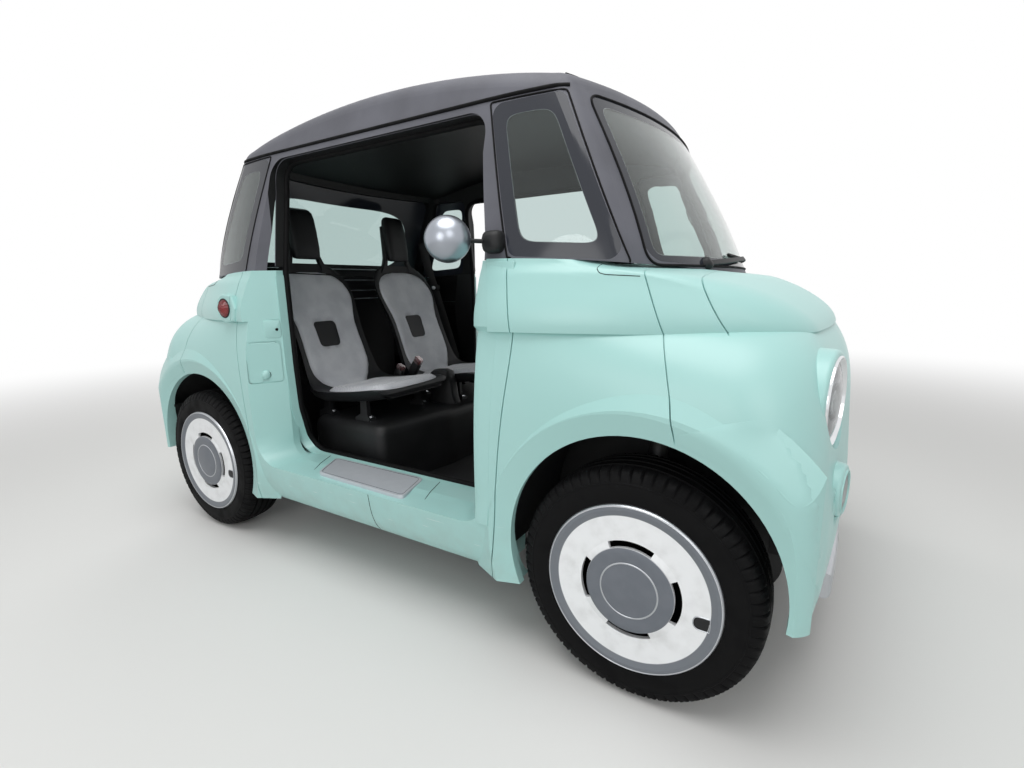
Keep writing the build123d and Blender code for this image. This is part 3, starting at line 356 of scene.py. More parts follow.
def make_finishes(colours):
    """All the finishes, by a short name."""
    # foot and head of the windscreen, then its slanting side
    side = Vector((0.0, -0.396, -0.042)).normalized()
    screen = [(0, 0, 1.0, -0.982), (0, 0, -1.0, 1.378), (0, side.y, side.z,
                                                         -(side.y * 0.528 + side.z * 0.985))]
    # lower, upper, rear and front edge of a quarter window, from its four corners
    corners = [(0.536, 1.012), (0.806, 0.994), (0.634, 1.376), (0.446, 1.376)]
    quarter = []
    for (x0, z0), (x1, z1) in zip(corners, corners[1:] + corners[:1]):
        run = Vector((x1 - x0, z1 - z0)).normalized()
        a, c = -run.y, run.x
        quarter.append((a, 0.0, c, -(a * x0 + c * z0)))
    FINISH.update({
        "body": moulded_abs(colours.body),
        # the last colour is painted shade, near black, on the roof's and pillars' faces that look into the
        # cabin
        "roof": grained_asa("grained_asa_grey", colours.roof, "#606169", "#060708"),
        "black": grained_asa("grained_polypropylene_black", "#0B0C0D", "#18191B"),
        "shell": grained_asa("grained_polyamide_seat_shell", "#0F1012", "#1B1C1F"),
        "top": woven_vinyl("#4A4A51"),
        "seal": matt_rubber("extruded_epdm_seal", "#070708", "#101011"),
        "tyre": matt_rubber("tyre_rubber", "#050506", "#0C0C0D", 60.0),
        "screen": printed_glass("windscreen_glass", screen, 0.024, "#DDE9E6", 0.05),
        "rear": printed_glass("rear_window_glass", screen, 0.056, "#B4C9C6", 0.3),
        "quarter": printed_glass("quarter_glass", quarter, 0.034, "#C2D2D0", 0.05),
        "lens": clear_acrylic("clear_acrylic_lens", "#F2F6F6"),
        "red": clear_acrylic("red_acrylic_lens", colours.tail, 0.08),
        "frosted": clear_acrylic("frosted_acrylic_lens", "#E4E6E2", 0.35),
        "pad": knitted_cover(colours.seat_pad),
        "silver": brushed_satin("satin_aluminium", "#B9BCC0"),
        "chrome": brushed_satin("chromed_abs_bezel", "#E6E8EA", 1.0, 0.1),
        "bowl": brushed_satin("aluminised_lamp_bowl", "#A3A7AC", 0.85, 0.28),
        "cover": painted_cover(colours.cover),
        "ball": brushed_satin("satin_aluminium_ball", "#A3A8B0", 1.0, 0.3),
        "sill": brushed_satin("anodised_sill_plate", "#C6CAD0", 0.3, 0.42),
        "cap": brushed_satin("grey_metallic_paint", "#6E737B", 0.5, 0.3),
        "steel": coated_steel("powder_coated_steel", "#1B1C1E", "#35342F"),
        "casting": coated_steel("cast_aluminium_motor", "#83878B", "#5F605E", 0.45),
        "belt": grained_asa("woven_polyester_webbing", "#0C0D0F", "#17181B"),
        "button": clear_acrylic("moulded_red_button", "#A81216", 0.55),
        "plate": coated_steel("blank_reflective_plate", "#D9DBD8", "#C6C8C4", 0.35),
        "mirror": brushed_satin("silvered_mirror_glass", "#E8EAEC", 1.0, 0.05),
        "screen_face": grained_asa("instrument_glass", "#0A0B0D", "#101215"),
    })


NODE_FINISH = {
    "body": ["bonnet", "tailgate", "front_fascia", "rear_fascia", "quarter_panels", "door_surrounds",
             "charge_flap"],
    "roof": ["roof", "pillar_frame"],
    "top": ["soft_top"],
    "screen": ["windscreen"],
    "rear": ["rear_window"],
    "quarter": ["quarter_windows"],
    "seal": ["door_seals"],
    "black": ["dashboard", "steering_column", "steering_wheel", "seat_base", "bulkheads", "wheel_liners",
              "floor_pan"],
    "shell": ["seat_shells"],
    "pad": ["seat_pads"],
    "silver": ["bumper_bars", "mirrors"],
    "steel": ["front_subframe", "rear_axle", "knuckle_right", "knuckle_left", "steering_rack"],
    "casting": ["motor"],
    "lens": ["headlamps", "small_lamps"],
    "red": ["tail_lamps"],
    "cover": ["wheel_front_right", "wheel_front_left", "wheel_rear_right", "wheel_rear_left"],
    "tyre": ["tyre_front_right", "tyre_front_left", "tyre_rear_right", "tyre_rear_left"],
}


def settle(name, data, finish, body):
    """Object that shows a mesh or curve in a finish and rides on a body."""
    data.materials.append(FINISH[finish])
    piece = bpy.data.objects.new(name, data)
    bpy.context.scene.collection.objects.link(piece)
    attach(piece, body)
    return piece


def new_piece(name, points, faces, finish, smooth_angle=40.0, body="car_body"):
    """Mesh piece from points in metres."""
    mesh = bpy.data.meshes.new(name)
    mesh.from_pydata([tuple(p) for p in points], [], faces)
    mesh.polygons.foreach_set("use_smooth", [True] * len(mesh.polygons))
    mesh.set_sharp_from_angle(angle=math.radians(smooth_angle))
    mesh.update()
    return settle(name, mesh, finish, body)


def turned(name, profile, centre, axis, finish, steps=72, closed=False, angle=40.0, shape=None,
           body="car_body"):
    """Piece turned about an axis from (along, radius) points in millimetres. shape may move
    a point's (along, radius) by the step's number and the point's number."""
    axis = Vector(axis).normalized()
    side = axis.cross(Vector((0, 0, 1))).normalized()
    up = side.cross(axis)
    points, rings = [], []
    for number, (along, radius) in enumerate(profile):
        ring = []
        for step in range(steps):
            if radius == 0 and step > 0:
                ring.append(ring[0])
                continue
            a, r = (along, radius) if shape is None else shape(step, number, along, radius)
            turn = 2 * math.pi * step / steps
            spoke = side * math.cos(turn) + up * math.sin(turn)
            points.append(Vector(centre) / 1000 + (axis * a + spoke * r) / 1000)
            ring.append(len(points) - 1)
        rings.append(ring)
    if closed:
        rings.append(rings[0])
    faces = []
    for inner, outer in zip(rings, rings[1:]):
        for step in range(steps):
            after = (step + 1) % steps
            face = [inner[step], outer[step], outer[after], inner[after]]
            face = [v for i, v in enumerate(face) if v not in face[:i]]
            if len(face) > 2:
                faces.append(face)
    return new_piece(name, points, faces, finish, angle, body)


def lofted(name, rings, finish, angle=40.0, body="car_body"):
    """Closed skin over rings of the same number of points, with both ends filled."""
    count = len(rings[0])
    points = [p for ring in rings for p in ring]
    faces = [[i * count + j, i * count + (j + 1) % count, (i + 1) * count + (j + 1) % count,
              (i + 1) * count + j] for i in range(len(rings) - 1) for j in range(count)]
    faces.append(list(range(count))[::-1])
    faces.append([(len(rings) - 1) * count + j for j in range(count)])
    return new_piece(name, points, faces, finish, angle, body)


def rounded(corners, radius, steps=6):
    """Closed outline with each corner eased by a quadratic bend."""
    outline = []
    for i, corner in enumerate(corners):
        before, here, after = Vector(corners[i - 1]), Vector(corner), Vector(corners[(i + 1) % len(corners)])
        reach = radius[i] if isinstance(radius, (list, tuple)) else radius
        start = here + (before - here).normalized() * min(reach, (before - here).length * 0.48)
        end = here + (after - here).normalized() * min(reach, (after - here).length * 0.48)
        for step in range(steps + 1):
            t = step / steps
            outline.append(start * (1 - t) ** 2 + here * 2 * t * (1 - t) + end * t ** 2)
    return outline


def oblong(half_wide, half_tall, radius):
    """Rectangle about the middle with eased corners."""
    return rounded([(-half_wide, -half_tall), (half_wide, -half_tall), (half_wide, half_tall),
                    (-half_wide, half_tall)], radius)


def full_oval(steps, wide, tall, wide_power, tall_power):
    """Points round an oval with full corners; the lower its power, the straighter a side."""
    for step in range(steps):
        across, up = math.cos(2 * math.pi * step / steps), math.sin(2 * math.pi * step / steps)
        yield (math.copysign(abs(across) ** wide_power, across) * wide,
               math.copysign(abs(up) ** tall_power, up) * tall)


def plate(name, outline, origin, across, up, thickness, edge, finish, back=0.0, body="car_body"):
    """Thin moulding: an outline in millimetres on a plane, raised by thickness with an eased edge."""
    across = Vector(across).normalized()
    up = Vector(up).normalized()
    out = across.cross(up)
    middle = sum((Vector(p) for p in outline), Vector((0, 0))) / len(outline)
    rings = []
    levels = [(-back, 0.0), (thickness - edge, 0.0), (thickness - edge * 0.3, edge * 0.3), (thickness, edge)]
    for height, inset in levels:
        ring = []
        for p in outline:
            arm = Vector(p) - middle
            p = middle + arm * max(0.0, 1 - inset / max(arm.length, 1e-6))
            ring.append((Vector(origin) + across * p.x + up * p.y + out * height) / 1000)
        rings.append(ring)
    return lofted(name, rings, finish, body=body)


def tube(name, points, radius, finish, cyclic=False, smooth=True, body="car_body"):
    """Round bar, seam or hose along points in millimetres."""
    curve = bpy.data.curves.new(name, "CURVE")
    curve.dimensions = "3D"
    curve.bevel_depth = radius / 1000
    curve.bevel_resolution = 3
    curve.use_fill_caps = not cyclic
    line = curve.splines.new("NURBS" if smooth else "POLY")
    line.points.add(len(points) - 1)
    for point, place in zip(line.points, points):
        point.co = (*(Vector(place) / 1000), 1.0)
    line.use_cyclic_u = cyclic
    if smooth:
        line.order_u = 3
        line.use_endpoint_u = not cyclic
    return settle(name, curve, finish, body)


def ribbon(name, path, facing, width, thickness, finish, body="car_body"):
    """Flat band along points in millimetres, with rounded long edges, turned to face one way."""
    rings = []
    for i, place in enumerate(path):
        ahead = Vector(path[min(i + 1, len(path) - 1)]) - Vector(path[max(i - 1, 0)])
        side = ahead.normalized().cross(Vector(facing).normalized()).normalized()
        out = side.cross(ahead.normalized())
        ring = []
        for across, height in ((-0.5, 0.25), (-0.47, 0.5), (0.47, 0.5), (0.5, 0.25), (0.5, -0.25),
                               (0.47, -0.5), (-0.47, -0.5), (-0.5, -0.25)):
            ring.append((Vector(place) + side * across * width + out * height * thickness) / 1000)
        rings.append(ring)
    return lofted(name, rings, finish, body=body)


class MICROCAR_OT_finishes(bpy.types.Operator):
    """Give every solid of the frame its finish"""
    bl_idname = "microcar.finishes"
    bl_label = "Finishes"

    def execute(self, context):
        make_finishes(context.scene.microcar_colours)
        for finish, nodes in NODE_FINISH.items():
            for node in nodes:
                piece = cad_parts[node]
                for slot in piece.material_slots:
                    slot.material = FINISH[finish]
        return {"FINISHED"}


class MICROCAR_OT_tyres(bpy.types.Operator):
    """Road tyres with tread grooves, shoulder cuts and wall ridges"""
    bl_idname = "microcar.tyres"
    bl_label = "Tyres"

    def execute(self, context):
        sizes = context.scene.microcar_sizes
        outer = sizes.tyre_radius * 1000
        half = sizes.tyre_width * 500
        steps = 6 * round(2 * math.pi * sizes.tyre_radius / sizes.sipe_pitch)
        wall = [(half - 17.5, outer - 100.5), (half - 9, outer - 96), (half - 5.5, outer - 88),
                (half - 3.6, outer - 81), (half - 2.0, outer - 79.5), (half - 2.0, outer - 78),
                (half - 2.8, outer - 76.5), (half - 0.8, outer - 64), (half, outer - 52),
                (half - 0.4, outer - 44), (half - 1.4, outer - 36), (half - 0.6, outer - 34.5),
                (half - 0.9, outer - 32.5), (half - 2.6, outer - 31), (half - 4.4, outer - 22),
                (half - 8, outer - 14.5), (half - 12, outer - 9.2), (half - 18, outer - 5.4),
                (half - 26, outer - 3.4)]
        tread = []
        for groove in (37.0, 13.0, -13.0, -37.0):
            crown = 2.4 * (groove / 40) ** 2
            tread += [(groove + 4, outer - crown), (groove + 2.6, outer - 6.5 - crown),
                      (groove - 2.6, outer - 6.5 - crown), (groove - 4, outer - crown)]
        profile = wall + tread + [(-y, r) for y, r in reversed(wall)]
        profile += [(-(half - 20), outer - 104), (half - 20, outer - 104)]
        cut_from, cut_to = half - 27, half - 3

        def sipes(step, number, along, radius):
            if step % 6 == 0 and cut_from < abs(along) < cut_to and radius > outer - 30:
                return along - math.copysign(2.4, along), radius - 4.6
            if step % 6 == 3 and cut_from < abs(along) < cut_to - 6 and radius > outer - 22:
                return along, radius - 1.6
            return along, radius

        for name, ahead, side in WHEELS:
            centre = (AXLE_REACH * ahead, HUB_ASIDE * side, outer)
            tyre = turned(f"tyre_tread_{name}", profile, centre, (0, 1, 0), "tyre", steps, closed=True,
                          angle=35.0, shape=sipes, body=f"wheel_{name}")
            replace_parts(tyre, f"tyre_{name}")
        return {"FINISHED"}


class MICROCAR_OT_wheel_trim(bpy.types.Operator):
    """Bright rings and valve notches of the wheel covers"""
    bl_idname = "microcar.wheel_trim"
    bl_label = "Wheel trim"

    def execute(self, context):
        for name, ahead, side in WHEELS:
            body = f"wheel_{name}"
            centre = (AXLE_REACH * ahead, HUB_ASIDE * side, HUB_HEIGHT)
            axis = (0, side, 0)
            for part, finish, steps, profile in (
                    ("cover_edge", "silver", 96, [(75, 192), (79.5, 193.5), (81.2, 195.8), (79.5, 198),
                                                  (74, 199.5)]),
                    ("cap_ring", "silver", 72, [(81.6, 62), (83.2, 63.2), (83.4, 64.6), (83.0, 66),
                                                (81.6, 67.2)]),
                    ("cap_dome", "cap", 72, [(81.6, 99), (82.2, 97), (83.0, 88), (83.2, 72), (82.4, 66.6),
                                             (82.6, 62), (84.0, 50), (85.2, 30), (85.8, 12), (86.0, 0)])):
                turned(f"{part}_{name}", profile, centre, axis, finish, steps, body=body)
            outline = rounded([(138, -42), (172, -42), (172, -12), (138, -12)], [15, 3, 3, 15])
            place = Vector(centre) + Vector(axis) * 75.6
            plate(f"valve_notch_{name}", outline, place, (-side, 0, 0), (0, 0, 1), 1.4, 0.6, "black",
                  body=body)
            lip = [place + Vector((-side * p.x, side * 1.4, p.y)) for p in outline]
            tube(f"valve_lip_{name}", lip, 1.3, "silver", cyclic=True, body=body)
        return {"FINISHED"}


def lamp_axes():
    """Each round lamp place: name, sign ahead, sign aside and facing direction."""
    for end, ahead in ENDS:
        for name, side in SIDES:
            yield f"{end}_{name}", ahead, side, Vector((ahead * math.cos(math.radians(10)),
                                                         side * math.sin(math.radians(10)), 0))


class MICROCAR_OT_lamps(bpy.types.Operator):
    """Headlamps, tail lamps, fog lamps and the ribbed side lamps"""
    bl_idname = "microcar.lamps"
    bl_label = "Lamps"

    def execute(self, context):
        rim = context.scene.microcar_sizes.lamp_radius * 1000
        heads, tails, smalls = [], [], []
        for name, ahead, side, facing in lamp_axes():
            head, fog = (1209.0 * ahead, 470.0 * side, 700.0), (1241.0 * ahead, 490.0 * side, 520.0)
            group, clear, small = (heads, "lens", "frosted") if ahead > 0 else (tails, "red", "red")
            for part, finish, steps, profile in (
                    ("lamp_bezel", "chrome", 96, [(-32, rim), (6, rim), (8.5, rim - 0.8), (9.6, rim - 2.6),
                                                  (9, rim - 5), (6, rim - 6.5), (0, rim - 9),
                                                  (-3, rim - 12)]),
                    ("lamp_bowl", "bowl", 96, [(-3, rim - 11.5), (-10, rim - 17), (-19, rim - 30),
                                               (-25, rim - 45), (-27, 38), (-26, 36), (-20, 34), (-22, 31),
                                               (-28, 20), (-29, 0)]),
                    ("lamp_projector", clear, 48, [(-28, 0), (-28, 24), (-16, 25), (-12, 21), (-8.5, 12),
                                                   (-7.5, 0)]),
                    ("lamp_lens", clear, 96, [(1, rim - 10.5), (4, rim - 18), (7, rim - 32), (9.6, rim - 50),
                                              (11.2, 24), (11.8, 0)])):
                group.append(turned(f"{part}_{name}", profile, head, facing, finish, steps))
            for part, finish, steps, slot, profile in (
                    ("fog_rim", "body", 72, None, [(-22, 47), (5, 47), (7.5, 45.5), (8, 43.5), (6, 42),
                                                   (1, 41.4)]),
                    ("fog_bowl", "bowl", 60, None, [(1, 41.8), (-8, 38), (-15, 28), (-18, 12), (-18.5, 0)]),
                    ("fog_lens", small, 60, "clear_glass", [(1, 42), (4, 38), (6, 28), (7.4, 14), (7.8, 0)])):
                smalls.append(turned(f"{part}_{name}", profile, fog, facing, finish, steps))
        for name, side in SIDES:
            place = (-595.0, 691.3 * side, 883.0)
            ribs = []
            for k in range(15):
                share = k / 15
                radius = 29.5 * (1 - share)
                height = 17.6 * (1 - (radius / 31) ** 2)
                ribs += [(height, radius), (height + 0.9, radius - 0.5), (height + 0.5, radius - 1.2)]
            smalls.append(turned(f"side_lamp_{name}", [(0, 30)] + ribs + [(18, 0)], place, (0, side, 0),
                                 "red", 60))
            turned(f"side_lamp_rim_{name}", [(-0.5, 34), (1.6, 33.4), (2.2, 31.6), (1.4, 30.2), (-0.5, 30)],
                   place, (0, side, 0), "black", 60)
        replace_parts(heads[0], "headlamps")
        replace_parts(tails[0], "tail_lamps")
        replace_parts(smalls[0], "small_lamps")
        return {"FINISHED"}


class MICROCAR_OT_mirrors(bpy.types.Operator):
    """Round door mirrors on thin stalks"""
    bl_idname = "microcar.mirrors"
    bl_label = "Mirrors"

    def execute(self, context):
        for name, side in SIDES:
            centre = (448.0, 750.0 * side, 1048.0)
            ball = [(52 * math.cos(a), 52 * math.sin(a)) for a in (math.radians(t) for t in range(0, 141, 7))]
            ball[0] = (52, 0)
            ball += [(-41.5, 31), (-42, 29.6), (-40.5, 28.4)]
            shell = turned(f"mirror_ball_{name}", ball, centre, (1, 0, 0), "ball", 72)
            turned(f"mirror_face_{name}", [(-40.8, 29.5), (-40.9, 15), (-40.9, 0)], centre, (1, 0, 0),
                   "mirror", 60)
            stalk = [(452, 702 * side, 1048), (460, 690 * side, 1048), (476, 664 * side, 1047.5),
                     (490, 648 * side, 1047)]
            tube(f"mirror_stalk_{name}", stalk, 5.2, "black")
            turned(f"mirror_collar_{name}", [(-3, 7), (0, 14), (3, 15), (5, 13), (6, 7)],
                   (452, 701 * side, 1048), (-0.3, -side, 0), "black", 40)
            foot = []
            for reach, wide, tall in ((598, 24, 26), (640, 26, 27), (652, 25, 25), (660, 20, 20),
                                      (664, 12, 12)):
                foot.append([Vector((498 + x, reach * side, 1046 + z)) / 1000
                             for x, z in full_oval(28, wide, tall, 0.6, 0.6)])
            lofted(f"mirror_foot_{name}", foot, "black")
            if side < 0:
                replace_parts(shell, "mirrors")
        return {"FINISHED"}


SEAT_LINE = [(-60, 546), (-57, 562), (-68, 572), (-112, 566), (-176, 553), (-247, 543), (-325, 535),
             (-390, 531), (-430, 536), (-464, 552), (-490, 582), (-510, 622), (-530, 672), (-548, 718),
             (-567, 768), (-585, 815), (-602, 862), (-618, 907), (-634, 950), (-648, 992), (-658, 1025),
             (-664, 1048)]
SEAT_HALF = [140, 172, 188, 198, 204, 206, 206, 204, 198, 190, 184, 180, 176, 174, 174, 180, 188, 194, 190,
             176, 148, 104]
SEAT_RISE = [0, 3, 10, 18, 22, 24, 25, 26, 26, 28, 30, 32, 32, 32, 32, 30, 26, 22, 16, 10, 4, 2]
SEAT_DEEP = [8, 24, 34, 36, 36, 36, 36, 38, 40, 42, 42, 40, 38, 36, 34, 32, 30, 28, 26, 24, 22, 20]


def seat_section(share):
    """Front line point, forward normal, and half width, bolster rise and depth at a share of the
    seat's length."""
    place = share * (len(SEAT_LINE) - 1)
    low = min(int(place), len(SEAT_LINE) - 2)
    t = place - low
    here = Vector(SEAT_LINE[low]).lerp(Vector(SEAT_LINE[low + 1]), t)
    before = Vector(SEAT_LINE[max(low - 1, 0)]).lerp(Vector(SEAT_LINE[low]), t)
    after = Vector(SEAT_LINE[low + 1]).lerp(Vector(SEAT_LINE[min(low + 2, len(SEAT_LINE) - 1)]), t)
    run = (after - before).normalized()
    blend = [a[low] * (1 - t) + a[low + 1] * t for a in (SEAT_HALF, SEAT_RISE, SEAT_DEEP)]
    out = Vector((run.y, -run.x))
    return here, -out if run.x > 0 else out, blend


def seat_point(share, across, lift, shift, aside):
    """Place on or above a seat's front surface, in metres; across is in millimetres."""
    here, out, (half, rise, _) = seat_section(share)
    height = lift + rise * min(1.2, abs(across) / half) ** 3
    return Vector((here.x + shift + out.x * height, aside + across, here.y + out.y * height)) / 1000


def pad_form(name, outer, inner, crown, shift, aside):
    """Crowned pad between an outline and a hole, given as (share along the seat, across) points,
    or over the whole outline where there is no hole."""
    rings = 12
    count = len(outer)
    middle = sum((Vector(p) for p in outer), Vector((0, 0))) / count
    holes = inner if inner else [middle] * count
    points, faces = [], []
    # the crowned top, and then its underside in the shell
    for ring in range(rings + 1):
        t = ring / rings
        bulge = (1 - abs(2 * t - 1) ** 4) ** 0.6 if inner else (1 - t ** 5) ** 0.6
        for a, b in zip(holes, outer):
            p = Vector(a).lerp(Vector(b), t)
            base = seat_point(p.x, p.y, 0, shift, aside)
            ripple = 0.8 * noise.noise(base * 22) * bulge
            points.append(seat_point(p.x, p.y, 1.0 + crown * bulge + ripple, shift, aside))
    for ring in range(rings + 1):
        for a, b in zip(holes, outer):
            p = Vector(a).lerp(Vector(b), ring / rings)
            points.append(seat_point(p.x, p.y, -4.0, shift, aside))
    half = (rings + 1) * count
    for ring in range(rings):
        for j in range(count):
            k = (j + 1) % count
            a, b, c, d = ring * count + j, ring * count + k, (ring + 1) * count + k, (ring + 1) * count + j
            faces.append([a, b, c, d])
            faces.append([half + d, half + c, half + b, half + a])
    for j in range(count):
        k = (j + 1) % count
        a, b = rings * count + j, rings * count + k
        faces.append([a, b, half + b, half + a])
        if inner:
            faces.append([half + j, half + k, k, j])
    pad = new_piece(name, points, faces, "pad", 60.0)
    return pad


def ring_by_angle(outline, centre, count=120):
    """The outline's points where rays from a centre meet it, at even angles."""
    found = []
    for step in range(count):
        turn = 2 * math.pi * step / count
        ray = Vector((math.cos(turn), math.sin(turn)))
        best = None
        for i, a in enumerate(outline):
            a, b = Vector(a) - Vector(centre), Vector(outline[(i + 1) % len(outline)]) - Vector(centre)
            run = b - a
            cross = ray.x * run.y - ray.y * run.x
            if abs(cross) < 1e-12:
                continue
            reach = (a.x * run.y - a.y * run.x) / cross
            along = (a.x * ray.y - a.y * ray.x) / cross
            if reach > 0 and -1e-6 <= along <= 1 + 1e-6 and (best is None or reach > best):
                best = reach
        found.append(Vector(centre) + ray * best)
    return found


def share_at_height(z):
    """Share of the seat's length at a height on its back."""
    for i in range(7, len(SEAT_LINE) - 1):
        if SEAT_LINE[i][1] <= z <= SEAT_LINE[i + 1][1]:
            return (i + (z - SEAT_LINE[i][1]) / (SEAT_LINE[i + 1][1] - SEAT_LINE[i][1])) / (len(SEAT_LINE) - 1)
    return 7 / (len(SEAT_LINE) - 1)


def share_at_reach(x):
    """Share of the seat's length at a place on its cushion."""
    for i in range(1, 8):
        if SEAT_LINE[i][0] >= x >= SEAT_LINE[i + 1][0]:
            return (i + (SEAT_LINE[i][0] - x) / (SEAT_LINE[i][0] - SEAT_LINE[i + 1][0])) / (len(SEAT_LINE) - 1)
    return 1 / (len(SEAT_LINE) - 1)


class MICROCAR_OT_seats(bpy.types.Operator):
    """Moulded seat shells with slotted head restraints, and their knitted pads"""
    bl_idname = "microcar.seats"
    bl_label = "Seats"

    def execute(self, context):
        crown = context.scene.microcar_sizes.pad_crown * 1000
        shells, pads = [], []
        for name, side, shift in (("right", -1, -85.0), ("left", 1, 0.0)):
            aside = 232.0 * side
            rings = []
            for station in range(61):
                share = station / 60
                half, rise, deep = seat_section(share)[2]
                ring = []
                # the front face from side to side, then the back face in return
                for j in range(25):
                    t = -1 + 2 * j / 24
                    across = half * (math.sin(t * math.pi / 2) * 0.35 + t * 0.65)
                    ring.append(seat_point(share, across, -6 * abs(t) ** 14, shift, aside))
                for j in range(1, 24):
                    t = 1 - 2 * j / 24
                    depth = deep * (1 - abs(t) ** 8 * 0.55) + rise * abs(t) ** 3 * 0.3
                    ring.append(seat_point(share, half * t, -depth, shift, aside))
                rings.append(ring)
            shells.append(lofted(f"seat_shell_{name}", rings, "shell"))
            back_line = [(56, 534), (96, 543), (126, 562), (145, 592), (151, 624), (150, 680), (147, 740),
                         (148, 789), (157, 830), (168, 866), (175, 898), (173, 930), (160, 962), (134, 990),
                         (98, 1006), (46, 1014)]
            outline = [(share_at_height(z), y) for y, z in back_line]
            outline = outline + [(s, -y) for s, y in reversed(outline)]
            # shares are drawn a thousand times as long, so that the outlines have like sides
            stretch = 1000.0
            wide = [(s * stretch, y) for s, y in outline]
            foot, head = share_at_height(700) * stretch, share_at_height(806) * stretch
            hole = rounded([(foot, -52), (foot, 52), (head, 58), (head, -58)], 24, 6)
            centre = (share_at_height(752) * stretch, 0.0)
            outer = [(p.x / stretch, p.y) for p in ring_by_angle(wide, centre)]
            inner = [(p.x / stretch, p.y) for p in ring_by_angle(hole, centre)]
            pads.append(pad_form(f"seat_back_pad_{name}", outer, inner, crown, shift, aside))
            front, rear = share_at_reach(-80) * stretch, share_at_reach(-422) * stretch
            cushion = rounded([(front, -172), (front, 172), (rear, 146), (rear, -146)], 60, 8)
            outer = [(p.x / stretch, p.y) for p in ring_by_angle(cushion, ((front + rear) / 2, 0.0))]
            pads.append(pad_form(f"seat_cushion_{name}", outer, None, crown * 1.5, shift, aside))
            for label, ys in (("outer", -1), ("inner", 1)):
                post = []
                for z, out_y, in_y, x in ((1014, 124, 70, -656), (1034, 108, 72, -660), (1056, 92, 66, -664),
                                          (1085, 80, 58, -669), (1130, 75, 52, -675), (1190, 71, 48, -683),
                                          (1236, 66, 44, -690)):
                    ring = []
                    for y, dx in ((out_y, 2), (out_y, -8), (out_y - 5, -16), (in_y + 4, -16), (in_y, -8),
                                  (in_y, 2), (in_y + 4, 8), (out_y - 5, 8)):
                        ring.append(Vector((x + shift + dx, aside + ys * y, z)) / 1000)
                    post.append(ring if ys > 0 else ring[::-1])
                lofted(f"restraint_post_{label}_{name}", post, "shell")
            rings = []
            for z, half, x, deep in ((1070, 46, -656, 8), (1073, 58, -656, 18), (1082, 64, -657, 23),
                                     (1120, 67, -662, 26), (1190, 66, -671, 26), (1240, 64, -678, 24),
                                     (1264, 60, -682, 20), (1276, 52, -684, 13), (1281, 40, -685, 6)):
                rings.append([Vector((x + shift + dx, aside + y, z)) / 1000
                              for y, dx in full_oval(40, half, deep, 0.45, 0.6)])
            lofted(f"head_restraint_{name}", rings, "shell")
            for place, across in ((-190, -150), (-190, 150), (-400, -150), (-400, 150)):
                foot = [[Vector((place + shift + dx * wide, aside + across + dy * wide, z)) / 1000
                         for dx, dy in ((-1, -0.5), (1, -0.5), (1, 0.5), (-1, 0.5))]
                        for z, wide in ((440, 38), (462, 36), (474, 18), (545 if place > -200 else 528, 16))]
                where = f"{name}_{-place}_{'out' if across * side > 0 else 'in'}"
                lofted(f"seat_foot_{where}", foot, "black")
                turned(f"seat_bolt_{where}", [(0, 9), (4, 9), (6, 7.5), (6, 4), (4.5, 3), (4.5, 0)],
                       (place + shift + 28, aside + across, 462), (0.15, 0, 1), "silver", 6, angle=20.0)
        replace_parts(shells[0], "seat_shells")
        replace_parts(pads[0], "seat_pads")
        return {"FINISHED"}


def skin(nodes):
    """Search tree over the outside of some solids, in metres."""
    points, faces = [], []
    for mesh in (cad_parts[node].data for node in nodes):
        start = len(points)
        points += [v.co.copy() for v in mesh.vertices]
        faces += [[start + i for i in polygon.vertices] for polygon in mesh.polygons]
    return BVHTree.FromPolygons(points, faces)


def on_side(tree, x, z, side, lift=0.0):
    """Place on the skin seen straight from one side, in millimetres, or None."""
    hit = tree.ray_cast(Vector((x / 1000, side * 1.2, z / 1000)), Vector((0, -side, 0)))[0]
    return None if hit is None else hit * 1000 + Vector((0, side * lift, 0))


def on_end(tree, y, z, ahead, lift=0.0):
    """Place on the skin seen straight from the front or back, in millimetres, or None."""
    hit = tree.ray_cast(Vector((ahead * 2.0, y / 1000, z / 1000)), Vector((-ahead, 0, 0)))[0]
    return None if hit is None else hit * 1000 + Vector((ahead * lift, 0, 0))


def seam(name, line, radius, cyclic=False):
    """Dark line along those points of a line that were found on the skin; along a gap between panels it is
    painted shade.
    """
    tube(name, [p for p in line if p], radius, "seal", cyclic=cyclic)


def spread_points(corners, spacing, closed=True):
    """Points along an outline at most so far apart, its corners among them."""
    found = []
    pairs = list(zip(corners, corners[1:] + corners[:1])) if closed else list(zip(corners, corners[1:]))
    for a, b in pairs:
        a, b = Vector(a), Vector(b)
        count = max(1, math.ceil((b - a).length / spacing))
        found += [a.lerp(b, i / count) for i in range(count)]
    if not closed:
        found.append(Vector(corners[-1]))
    return found


